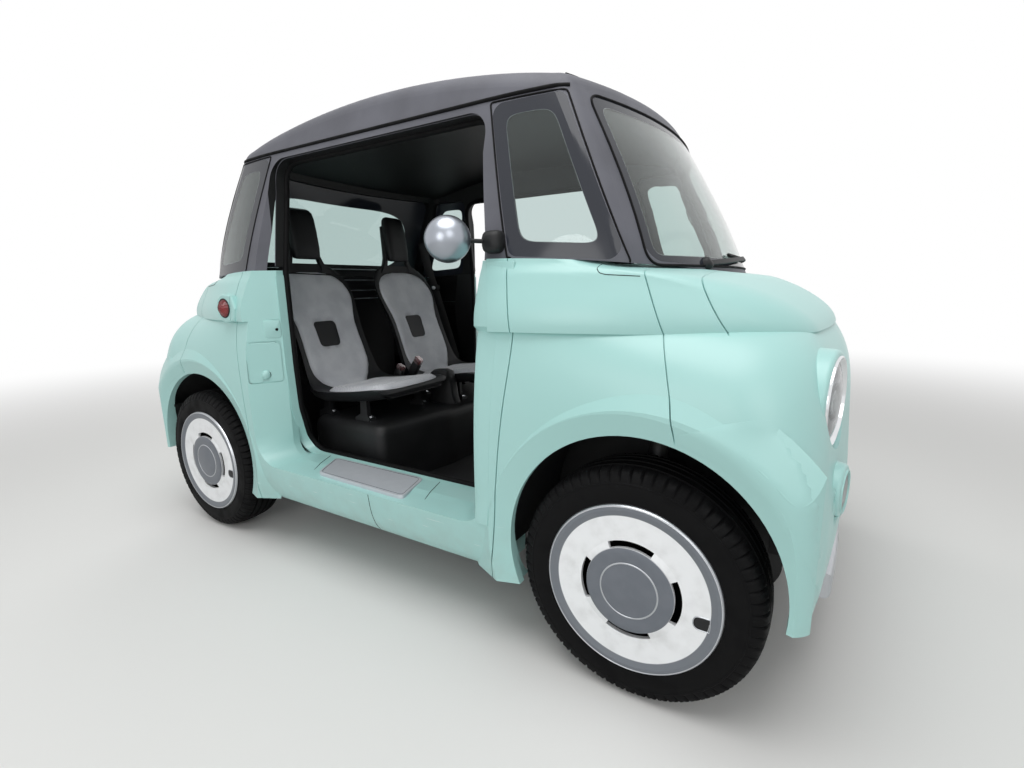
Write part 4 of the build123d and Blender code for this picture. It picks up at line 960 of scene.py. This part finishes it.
class MICROCAR_OT_seams(bpy.types.Operator):
    """Rubber gap lines round the glass and the roof seam, and painted shade lines along the small panel seams
    """
    bl_idname = "microcar.seams"
    bl_label = "Seams"

    def execute(self, context):
        upper = skin(["pillar_frame", "quarter_windows", "windscreen", "rear_window", "roof"])
        lower = skin(["quarter_panels", "front_fascia", "rear_fascia", "door_surrounds"])
        quarter = rounded([(532, 1006), (812, 988), (638, 1380), (442, 1381)], 9, 4)
        cowl = [(752, 987), (751, 977), (758, 968), (772, 964), (800, 962), (842, 959)]
        screen = rounded([(-530, 984), (530, 984), (489, 1380), (-489, 1380)], 42, 8)
        for end, ahead in ENDS:
            line = [on_end(upper, p.x, p.y, ahead, 0.6) for p in spread_points(screen, 25)]
            seam(f"screen_rubber_{end}", line, 3.2, cyclic=True)
            for name, side in SIDES:
                line = [on_side(upper, p.x * ahead, p.y, side, 0.4) for p in spread_points(quarter, 25)]
                seam(f"quarter_rubber_{end}_{name}", line, 2.4, cyclic=True)
        for name, side in SIDES:
            line = [on_side(upper, x, 1390.5, side, 0.3) for x in range(-640, 641, 20)]
            seam(f"roof_gutter_{name}", line, 5.0)
            # painted shade: the cowl seams are thin dark tubes that stand for the shade in the panel gap
            for end, ahead in ENDS:
                line = [on_side(lower, p.x * ahead, p.y, side, 0.1) for p in spread_points(cowl, 8, False)]
                seam(f"cowl_seam_{end}_{name}", line, 0.9)
            # painted shade: the sill joint is a thin dark tube that stands for the shade in the gap
            line = [on_side(lower, 58, z, side, 0.1) for z in range(334, 204, -8)]
            seam(f"sill_joint_{name}", line, 0.9)
            # painted shade: the sill seams are thin dark tubes that stand for the shade in the panel gaps
            for end, (inner, outer) in (("front", ((201, 522), (246, 662))),
                                        ("rear", ((-314, 522), (-244, 662)))):
                line = [Vector((inner[0], side * inner[1], 345.2)),
                        Vector((inner[0] + (outer[0] - inner[0]) * 0.56, side * 600, 345.2)),
                        Vector((outer[0], side * outer[1], 336.2))]
                tube(f"sill_seam_{end}_{name}", line, 1.0, "seal", smooth=False)
        roofing = skin(["roof"])
        for end, ahead in ENDS:
            line = []
            for y in range(-500, 501, 25):
                x = ahead * (652 - 34 * (y / 500) ** 2)
                hit = roofing.ray_cast(Vector((x / 1000, y / 1000, 1.8)), Vector((0, 0, -1)))[0]
                if hit is not None:
                    line.append(hit * 1000 + Vector((0, 0, 0.4)))
            tube(f"roof_seam_{end}", line, 2.0, "seal")
        return {"FINISHED"}


def seal_reach(z):
    """How far the door seal lies from the middle at a height: it leans in with the side, and in
    again at the sill."""
    line = [(334, 504), (380, 510), (408, 521), (516, 545), (672, 551), (1000, 553), (1142, 535), (1272, 518),
            (1362, 513)]
    for (z0, y0), (z1, y1) in zip(line, line[1:]):
        if z <= z1:
            return y0 + (y1 - y0) * max(0.0, z - z0) / (z1 - z0)
    return line[-1][1]


def splay(z):
    """How much further a post's outer edge lies than its inner one at a height, in millimetres."""
    return 50 + 33 * (z - 335) / 673


def post_face(side, end, z):
    """Inner edge of a post's splayed face and the direction along it, for one side and end."""
    inner = Vector((end * POST_EDGE, side * 585.0, z))
    return inner, Vector((end * splay(z), side * 113.0, 0)).normalized()


class MICROCAR_OT_doorway(bpy.types.Operator):
    """Door seals, post linings, lock pads, sill plates and the flap's finger dome"""
    bl_idname = "microcar.doorway"
    bl_label = "Doorway"

    def execute(self, context):
        lower = skin(["quarter_panels", "door_surrounds"])
        first = None
        for name, side in SIDES:
            opening = rounded([(-430, 349), (430, 349), (430, 1361), (-430, 1361)], [74, 40, 58, 70], 10)
            path = [(p.x, side * seal_reach(p.y), p.y) for p in spread_points(opening, 30)]
            seal = tube(f"door_seal_{name}", path, 9.5, "seal", cyclic=True)
            first = first or seal
            for part, finish, low, high in (("jamb_return", "body", 0, 1006),
                                            ("rail_return", "roof", 1006, 2000)):
                count = len(path)
                inside = [low <= q[2] <= high for q in path]
                start = next(i for i in range(count) if inside[i] and not inside[i - 1])
                rings = []
                for step in range(count):
                    i = (start + step) % count
                    if not inside[i]:
                        break
                    here = Vector(path[i])
                    run = Vector(path[(i + 1) % count]) - Vector(path[i - 1])
                    away = Vector((run.z, 0, -run.x)).normalized()
                    spread = 5 + 26 * min(1.0, max(0.0, (460 - here.z) / 90))
                    far = here + Vector((away.x * spread, side * 36, away.z * 5))
                    rings.append([p / 1000 for p in (here, far, far + away * 4, here + away * 4)])
                lofted(f"{part}_{name}", rings, finish, 30.0)
            rings = []
            for z in range(346, 1005, 14):
                edge = POST_EDGE + splay(z)
                lip = 452 + (z - 500) * 0.015
                outer = on_side(lower, edge + 12, z, side)
                if outer is None:
                    continue
                reach = abs(outer.y)
                ring = [(439, 592), (442, 600), (lip - 2, reach - 24), (lip + 1, reach - 12),
                        (lip + 7, reach - 4), (lip + 16, reach - 0.6), (lip + 26, reach + 0.5),
                        (edge + 10, reach + 0.3), (edge + 10, reach - 14), (455, 604)]
                rings.append([Vector((x, side * y, z)) / 1000 for x, y in (ring if side > 0 else ring[::-1])])
            lofted(f"post_lining_{name}", rings, "body", 30.0)
            pad = []
            for p in rounded([(482, 1000), (560, 1000), (554, 828), (478, 828)], [4, 4, 24, 24], 6):
                pad.append(Vector((p.x, on_side(lower, max(p.x, 522), p.y, side).y, p.y)))
            outline = [(-side * p.x, p.z) for p in pad]
            plate(f"post_pad_{name}", outline, (0, pad[0].y, 0), (-side, 0, 0), (0, 0, 1), 3.0, 2.0, "body",
                  back=2.0)
            inner, run = post_face(side, -1, 807)
            outline = rounded([(4, -31), (58, -27), (58, 33), (4, 31)], [14, 14, 6, 6], 6)
            outline = [(side * p.x, p.y) for p in outline]
            across = run * side
            plate(f"lock_pad_{name}", outline, inner, across, (0, 0, 1), 2.4, 1.6, "body", back=4.0)
            out = across.cross(Vector((0, 0, 1)))
            turned(f"lock_hole_{name}", [(1.5, 5.2), (2.8, 5.0), (2.9, 4.0), (2.9, 0)], inner + run * 17, out,
                   "seal", 32)
            tube(f"lock_step_{name}", [inner + run * u + out * 0.4 + Vector((0, 0, 36)) for u in (4, 20, 34)],
                 0.9, "body", smooth=False)
            corners = [(-266, 2), (142, -2), (184, 138), (-204, 130)]
            sill = rounded(corners, 22, 7)
            plate(f"sill_plate_{name}", [(side * p.x, p.y) for p in sill], (0, side * 536, 346), (side, 0, 0),
                  (0, side, 0), 2.6, 1.2, "sill", back=14.0)
            inset = [Vector((p.x * 0.955 - 2, side * (536 + (p.y - 68) * 0.87 + 68), 348.8))
                     for p in rounded(corners, 18, 7)]
            tube(f"sill_plate_line_{name}", inset, 0.9, "cap", cyclic=True)
        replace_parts(first, "door_seals")
        inner, run = post_face(-1, -1, 650)
        out = (run * -1).cross(Vector((0, 0, 1)))
        turned("charge_flap_dome", [(-1, 16), (0.6, 15.4), (3.5, 12.5), (5.6, 8), (6.6, 3.5), (6.8, 0)],
               inner + run * 66, out, "body", 48, body="charge_flap")
        return {"FINISHED"}


class MICROCAR_OT_cabin(bpy.types.Operator):
    """Parcel slats, centre console, belts and buckles, steering wheel, display and vents"""
    bl_idname = "microcar.cabin"
    bl_label = "Cabin"

    def execute(self, context):
        width = context.scene.microcar_sizes.belt_width * 1000
        plate("parcel_panel", rounded([(-450, 862), (450, 862), (430, 1058), (-430, 1058)], 20), (-862, 0, 0),
              (0, 1, 0), (0, 0, 1), 8, 3, "black", back=6)
        for row, z in enumerate((892, 933, 984, 1036)):
            rings = []
            for y in (-420, -414, 414, 420):
                tall, deep = (1.5, 2) if abs(y) == 420 else (2.6, 9)
                rings.append([Vector((-852 + dx * deep, y, z + dz * tall)) / 1000
                              for dx, dz in ((-1, -1), (0.6, -1), (1, -0.2), (0.6, 0.8), (-1, 1))])
            lofted(f"parcel_slat_{row}", rings, "sill")
        rings = []
        for x, wide, low, high in ((-262, 14, 446, 560), (-258, 24, 446, 582), (-240, 30, 446, 592),
                                   (-190, 31, 446, 597), (-165, 29, 446, 592), (-150, 24, 446, 560),
                                   (-142, 22, 446, 500), (-128, 18, 446, 462)):
            ring = []
            for y, z in ((-wide, low), (-wide, high - 18), (-wide * 0.8, high - 5), (-wide * 0.45, high),
                         (wide * 0.45, high), (wide * 0.8, high - 5), (wide, high - 18), (wide, low)):
                ring.append(Vector((x, y, low if z == low else max(z, low + 2))) / 1000)
            rings.append(ring)
        lofted("centre_console", rings, "black", 30.0)
        plan = rounded([(-518, -438), (-146, -438), (-76, -130), (-76, 130), (-146, 438), (-518, 438)], 36, 7)
        rings = []
        for z, inset in ((226, 0), (300, 0), (412, 1), (430, 4), (441, 10), (448, 20), (451, 32)):
            rings.append([Vector((-300 + (p.x + 300) * (1 - inset / 220), p.y * (1 - inset / 438), z)) / 1000
                          for p in plan])
        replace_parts(lofted("seat_box", rings, "black", 30.0), "seat_base")
        eased_oblong = ((-1, -0.7), (-0.8, -1), (0.8, -1), (1, -0.7), (1, 0.7), (0.8, 1), (-0.8, 1), (-1, 0.7))
        for label, base, top in (("left", (-425, 16, 520), (-352, 12, 622)),
                                 ("right", (-475, -16, 505), (-436, -14, 590))):
            base, top = Vector(base), Vector(top)
            run = (top - base).normalized()
            path = [base - Vector((10, 0, 45)), base, base.lerp(top, 0.45)]
            ribbon(f"buckle_stalk_{label}", path, (0.3, 1 if base.y < 0 else -1, 0.2), 24, 8, "black")
            across = run.cross(Vector((0, 1, 0))).normalized()
            for part, low, high, half, finish in (("body", 0.3, 0.86, 20, "black"),
                                                  ("button", 0.86, 1.1, 19, "button")):
                rings = []
                for t, share in ((low, 0.8), (low + 0.04, 1.0), (high - 0.04, 1.0), (high, 0.86)):
                    middle = base.lerp(top, t)
                    rings.append([(middle + across * half * share * a + Vector((0, 12 * share * b, 0))) / 1000
                                  for a, b in eased_oblong])
                lofted(f"buckle_{part}_{label}", rings, finish)
        for name, side in SIDES:
            back = -60 if side < 0 else 0
            path = [(-724 + back * 0.3, 500 * side, 1180), (-726 + back * 0.3, 520 * side, 1100),
                    (-718 + back * 0.4, 546 * side, 1000), (-706 + back * 0.4, 560 * side, 936),
                    (-655 + back * 0.5, 556 * side, 800), (-600 + back * 0.6, 548 * side, 660),
                    (-560 + back * 0.7, 540 * side, 560), (-548 + back * 0.7, 520 * side, 500)]
            ribbon(f"belt_{name}", path, (0.5, -side, 0.3), width, 1.6, "belt")
            plate(f"belt_guide_{name}", oblong(34, 16, 10), (-703 + back * 0.4, 552 * side, 938),
                  (0.83 * side, 0.55, 0), (0.1, 0.1, 1), 7, 2, "black", back=5)
            turned(f"belt_bolt_{name}", [(6, 11), (8, 10.4), (9.5, 8), (9.5, 4.5), (8, 4), (8, 0)],
                   (-703 + back * 0.4, 552 * side, 938), (0.55, -0.83 * side, 0.1), "silver", 24)
        centre = Vector((300, WHEEL_ASIDE, 850))
        axis = Vector((math.cos(math.radians(25)), 0, -math.sin(math.radians(25))))
        rim = [(13.5 * math.cos(a) * 1.05, 166 + 13.5 * math.sin(a))
               for a in (math.radians(t) for t in range(0, 360, 20))]
        wheel = turned("steering_rim", rim, centre, axis, "shell", 96, closed=True, body="steering_wheel")
        turned("steering_hub", [(18, 24), (16, 50), (4, 60), (-10, 62), (-20, 58), (-24, 48), (-27, 24),
                                (-27.5, 0)], centre, axis, "black", 72, body="steering_wheel")
        up = Vector((0, 1, 0)).cross(axis)
        for label, direction in (("left", Vector((0, 1, 0))), ("right", Vector((0, -1, 0))),
                                 ("low", up * (-1 if up.z > 0 else 1))):
            path = [centre + direction * r + axis * lift
                    for r, lift in ((46, -2), (80, 2), (120, 3), (160, 0))]
            ribbon(f"steering_spoke_{label}", path, tuple(-axis), 38, 13, "shell", body="steering_wheel")
        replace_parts(wheel, "steering_wheel")
        rings = []
        for x, half, low, high in ((520, 88, 905, 985), (528, 100, 900, 1002), (560, 104, 900, 1012),
                                   (620, 96, 905, 1004), (640, 80, 915, 985)):
            rings.append([Vector((x, WHEEL_ASIDE + y, (low + high) / 2 + z)) / 1000
                          for y, z in full_oval(28, half, (high - low) / 2, 0.5, 0.5)])
        lofted("instrument_pod", rings, "black")
        plate("instrument_face", oblong(80, 34, 10), (520, WHEEL_ASIDE, 946), (0, -1, 0), (0, 0, 1), 2.0, 1.0,
              "screen_face", back=2)
        for label, y in (("outer", 500), ("middle_left", 40), ("middle_right", -120), ("far", -500)):
            turned(f"vent_ring_{label}", [(0, 40), (5, 40), (8, 37), (7, 33), (1, 31)], (536, y, 888),
                   (-1, 0, 0), "shell", 60)
            for row in range(5):
                half = math.sqrt(31 ** 2 - (12 * (row - 2)) ** 2)
                ribbon(f"vent_slat_{label}_{row}", [(532, y - half, 888 + 12 * (row - 2)),
                                                    (532, y + half, 888 + 12 * (row - 2))], (-1, 0, 0.5), 7,
                       2, "black")
        for label, y, half in (("brake", 255, 40), ("throttle", 165, 26)):
            plate(f"pedal_{label}", oblong(half, 34, 8), (560, y, 330), (0, -1, 0), (0.5, 0, 0.86), 8, 2,
                  "seal", back=4)
            tube(f"pedal_arm_{label}", [(568, y, 340), (590, y, 420), (620, y, 520), (690, y, 560)], 7,
                 "steel")
        return {"FINISHED"}


class MICROCAR_OT_underbody(bpy.types.Operator):
    """Splash shields and undertrays behind the wheels, the wiper and the blank rear plate"""
    bl_idname = "microcar.underbody"
    bl_label = "Underbody and wiper"

    def execute(self, context):
        for end, ahead, inner, start in (("front", 1, 366, 704), ("rear", -1, 432, 856)):
            tray = rounded([(start, -inner), (1130, -inner), (1150, -300), (1150, 300), (1130, inner),
                            (start, inner)], 20)
            plate(f"undertray_{end}", [(ahead * p.x, p.y * ahead) for p in tray], (0, 0, 252), (1, 0, 0),
                  (0, 1, 0), 4, 1, "black", back=4)
            for name, side in SIDES:
                wall = rounded([(start, 200), (1128, 200), (1146, 240), (1146, 440), (1090, 560),
                                (start + 20, 560)], 16)
                plate(f"splash_wall_{end}_{name}", [(-side * ahead * p.x, p.y) for p in wall],
                      (0, side * (inner + 1), 0), (-side, 0, 0), (0, 0, 1), 3, 1, "black", back=3)
                rings = []
                for turn in range(9, 37, 3):
                    a = math.radians(turn)
                    ring = []
                    for y, r in ((inner, 330), (655, 330), (658, 333), (655, 337), (inner, 337)):
                        ring.append(Vector((ahead * (AXLE_REACH + r * math.cos(a)), side * y,
                                            HUB_HEIGHT + r * math.sin(a))) / 1000)
                    rings.append(ring)
                lofted(f"splash_guard_{end}_{name}", rings, "black", 30.0)
        upper = skin(["pillar_frame", "windscreen", "front_fascia", "bonnet"])
        blade = [on_end(upper, y, z, 1, 7.0) for y, z in ((-150, 1016), (-90, 1013), (0, 1011), (120, 1010),
                                                          (240, 1012))]
        ribbon("wiper_blade", [tuple(p) for p in blade if p], (0.8, 0, 0.6), 9, 7, "seal")
        arm = [on_end(upper, y, z, 1, lift) for y, z, lift in ((-300, 992, 10), (-240, 996, 18),
                                                               (-120, 1004, 16), (30, 1012, 13))]
        ribbon("wiper_arm", [tuple(p) for p in arm if p], (0.8, 0, 0.6), 14, 5, "black")
        root = on_end(upper, -304, 990, 1)
        turned("wiper_pivot", [(-8, 17), (6, 17), (10, 15), (13, 10), (14, 0)], root, (0.8, 0, 0.6), "black",
               40)
        tail = on_end(skin(["rear_fascia", "bumper_bars"]), 0, 430, -1)
        plate("rear_plate", oblong(170, 56, 8), (tail.x - 5, 0, 430), (0, -1, 0), (0, 0, 1), 2.0, 0.8,
              "plate", back=14)
        return {"FINISHED"}


def round_corner(tree, reach, z, ahead, side, lift):
    """Place on the skin at a distance measured along the flank and then round the corner, in
    millimetres, or None."""
    bend = max(0.0, (reach - CORNER_REACH) / CORNER_BEND)
    out = Vector((ahead * math.sin(bend), side * math.cos(bend), 0))
    start = Vector((ahead * min(reach, CORNER_REACH), side * CORNER_ASIDE, z)) / 1000 + out * 0.6
    hit = tree.ray_cast(start, -out)[0]
    return None if hit is None else hit * 1000 + out * lift


def eased(share):
    """Share from 0 to 1 that starts and ends softly, held at its ends."""
    share = min(1.0, max(0.0, share))
    return share * share * (3 - 2 * share)


class MICROCAR_OT_arches(bpy.types.Operator):
    """Soft run-outs of the wheel arch flares round the corners of the body"""
    bl_idname = "microcar.arches"
    bl_label = "Arch run-outs"

    def execute(self, context):
        columns, crest_radius, least_radius, swell, clear = 14, 361, 372, 140, 0.7
        start_turn, end_turn = 8, 82  # where the flare's crest starts and ends round the wheel, in degrees
        for end, ahead in ENDS:
            tree = skin([f"{end}_fascia"])
            for name, side in SIDES:
                grid, under = [], []
                for step in range(61):
                    turn = math.radians(start_turn + (end_turn - start_turn) * step / 60)
                    fall, rise = (end_turn - math.degrees(turn)) / 32, (math.degrees(turn) - start_turn) / 16
                    width = least_radius + swell * eased(fall) * eased(rise)
                    crest = on_side(tree, ahead * (AXLE_REACH + crest_radius * math.cos(turn)),
                                    HUB_HEIGHT + crest_radius * math.sin(turn), side)
                    if crest is None:
                        continue
                    begin = abs(crest.x)
                    if begin > CORNER_REACH:
                        begin = CORNER_REACH + CORNER_BEND * math.atan2(begin - CORNER_REACH,
                                                                        abs(crest.y) - CORNER_ASIDE)
                    row, low = [], []
                    for j in range(columns + 1):
                        reach = begin + (AXLE_REACH + width * math.cos(turn) - begin) * j / columns
                        z = HUB_HEIGHT + (crest_radius + (width - crest_radius) * j / columns) * math.sin(turn)
                        row.append(round_corner(tree, reach, z, ahead, side,
                                                0.3 if j in (0, columns) else 0.8))
                        low.append(round_corner(tree, reach, z, ahead, side, -1.5))
                    if all(row) and all(low):
                        grid.append(row)
                        under.append(low)
                last = len(grid) - 1
                # smooth the strip like a stretched skin, held at its edges and just above the panel
                for _ in range(120):
                    fresh = [list(row) for row in grid]
                    for i in range(1, last):
                        for j in range(1, columns):
                            p = (grid[i - 1][j] + grid[i + 1][j] + grid[i][j - 1] + grid[i][j + 1]) / 4
                            near, normal = tree.find_nearest(p / 1000)[:2]
                            gap = (p / 1000 - near).dot(normal) * 1000
                            if gap < clear:
                                p += normal * (clear - gap)
                            fresh[i][j] = p
                    grid = fresh
                wide = columns + 1
                points = [q / 1000 for row in grid for q in row] + [q / 1000 for row in under for q in row]
                back = len(grid) * wide
                faces = []
                for i in range(last):
                    for j in range(columns):
                        a = i * wide + j
                        faces.append([a, a + 1, a + wide + 1, a + wide])
                        faces.append([back + a, back + a + wide, back + a + wide + 1, back + a + 1])
                    a, b = i * wide, i * wide + columns
                    faces.append([a, a + wide, back + a + wide, back + a])
                    faces.append([b + wide, b, back + b, back + b + wide])
                for j in range(columns):
                    faces.append([j + 1, j, back + j, back + j + 1])
                    a = last * wide + j
                    faces.append([a, a + 1, back + a + 1, back + a])
                a, b, c = (points[v] for v in faces[0][:3])
                if (b - a).cross(c - a).y * side < 0:
                    faces = [f[::-1] for f in faces]
                new_piece(f"arch_runout_{end}_{name}", points, faces, "body", 50.0)
        return {"FINISHED"}


def seen_share(tree):
    """1 for what the camera sees, straight, mirrored or through glass, and 0 for light on the object."""
    path = add_node(tree, "ShaderNodeLightPath").outputs
    share = add_node(tree, MATH, {"operation": "MAXIMUM"}, {0: path["Is Camera Ray"],
                                                            1: path["Is Glossy Ray"]})
    return add_node(tree, MATH, {"operation": "MAXIMUM"}, {0: share, 1: path["Is Transmission Ray"]})


class MICROCAR_OT_stage(bpy.types.Operator):
    """Pale floor, soft studio lamps and the camera"""
    bl_idname = "microcar.stage"
    bl_label = "Stage"

    def execute(self, context):
        scene = context.scene
        material, tree, place = start_finish("pale_studio_floor")
        matt = add_node(tree, "ShaderNodeBsdfPrincipled", {"Roughness": 0.7, "Base Color": linear("#E3E3E1")})
        white = add_node(tree, "ShaderNodeEmission", {"Color": linear("#FFFFFF"), "Strength": 1.0})
        # the floor turns to plain white from 2.2 to 7 m away from the middle
        spread = add_node(tree, VECTORS, {"operation": "LENGTH"}, {0: place}).outputs["Value"]
        spread = add_node(tree, RANGE, {1: 2.2, 2: 7.0}, {0: spread})
        share = add_node(tree, MATH, {}, {0: spread, 1: seen_share(tree)})
        mixed = add_node(tree, "ShaderNodeMixShader", {}, {0: share, 1: matt, 2: white})
        add_node(tree, "ShaderNodeOutputMaterial", {}, {"Surface": mixed})
        mesh = bpy.data.meshes.new("studio_floor")
        rim = [Vector((14 * math.cos(a), 14 * math.sin(a), 0))
               for a in (math.radians(t) for t in range(0, 360, 6))]
        mesh.from_pydata([tuple(p) for p in rim], [], [list(range(len(rim)))])
        mesh.materials.append(material)
        floor = bpy.data.objects.new("studio_floor", mesh)
        scene.collection.objects.link(floor)

        world = bpy.data.worlds.new("soft_studio")
        world.use_nodes = True
        scene.world = world
        tree = world.node_tree
        tree.nodes.clear()
        glow = add_node(tree, RANGE, {"interpolation_type": "LINEAR", 3: 0.42, 4: 1.0}, {0: seen_share(tree)})
        background = add_node(tree, "ShaderNodeBackground", {"Color": linear("#FFFFFF")}, {"Strength": glow})
        add_node(tree, "ShaderNodeOutputWorld", {}, {"Surface": background})

        for name, place, aim, size, power in (("overhead_softbox", (0.6, -1.2, 4.2), (0, 0, 0.6), 3.6, 98),
                                              ("side_softbox", (3.6, -3.4, 2.6), (0.2, 0, 0.6), 2.4, 24),
                                              ("doorway_softbox", (0.5, -3.6, 1.5), (-0.4, 0, 0.75), 1.6, 15),
                                              ("rear_softbox", (-3.6, 2.6, 3.2), (0, 0, 0.7), 2.6, 40)):
            lamp = bpy.data.lights.new(name, "AREA")
            lamp.shape = "DISK"
            lamp.size = size
            lamp.energy = power
            holder = bpy.data.objects.new(name, lamp)
            holder.location = place
            holder.rotation_euler = (Vector(aim) - Vector(place)).to_track_quat("-Z", "Y").to_euler()
            scene.collection.objects.link(holder)

        # the camera that was fitted to the photo: turns in radians, focal length in pixels of 1024
        yaw, pitch, roll, focal_pixels, sensor = 0.5544, -0.1942, -0.0169, 501.26, 36.0
        ahead = Vector((-math.sin(yaw) * math.cos(pitch), math.cos(yaw) * math.cos(pitch), math.sin(pitch)))
        right = Vector((math.cos(yaw), math.sin(yaw), 0))
        up = right.cross(ahead)
        tilted_right = right * math.cos(roll) + up * math.sin(roll)
        tilted_up = up * math.cos(roll) - right * math.sin(roll)
        view = bpy.data.cameras.new("photo_camera")
        view.sensor_fit = "HORIZONTAL"
        view.sensor_width = sensor
        view.lens = focal_pixels * sensor / 1024
        view.clip_start = 0.02
        camera = bpy.data.objects.new("photo_camera", view)
        turn = Matrix((tilted_right, tilted_up, -ahead)).transposed().to_4x4()
        camera.matrix_world = Matrix.Translation((1.1771, -1.6644, 0.9444)) @ turn
        scene.collection.objects.link(camera)
        scene.camera = camera
        scene.view_settings.view_transform = "Standard"
        return {"FINISHED"}


PIECES = (MICROCAR_OT_finishes, MICROCAR_OT_tyres, MICROCAR_OT_wheel_trim, MICROCAR_OT_lamps,
          MICROCAR_OT_mirrors, MICROCAR_OT_seats, MICROCAR_OT_arches, MICROCAR_OT_seams, MICROCAR_OT_doorway,
          MICROCAR_OT_cabin, MICROCAR_OT_underbody, MICROCAR_OT_stage)


class MICROCAR_PT_pieces(bpy.types.Panel):
    """Lists the pieces of the microcar and their sizes and colours"""
    bl_idname = "MICROCAR_PT_pieces"
    bl_label = "Microcar"
    bl_space_type = "VIEW_3D"
    bl_region_type = "UI"
    bl_category = "Microcar"

    def draw(self, context):
        for group in (context.scene.microcar_colours, context.scene.microcar_sizes):
            for key in group.bl_rna.properties.keys():
                if key not in ("rna_type", "name"):
                    self.layout.prop(group, key)
        for piece in PIECES:
            self.layout.operator(piece.bl_idname)


CLASSES = (MicrocarColours, MicrocarSizes, *PIECES, MICROCAR_PT_pieces)


def register():
    for cls in CLASSES:
        bpy.utils.register_class(cls)
    bpy.types.Scene.microcar_colours = bpy.props.PointerProperty(type=MicrocarColours)
    bpy.types.Scene.microcar_sizes = bpy.props.PointerProperty(type=MicrocarSizes)


def unregister():
    del bpy.types.Scene.microcar_sizes
    del bpy.types.Scene.microcar_colours
    for cls in reversed(CLASSES):
        bpy.utils.unregister_class(cls)


def main():
    """Dress the frame piece by piece."""
    register()
    for piece in PIECES:
        group, name = piece.bl_idname.split(".")
        getattr(getattr(bpy.ops, group), name)()


if __name__ == "__main__":
    main()
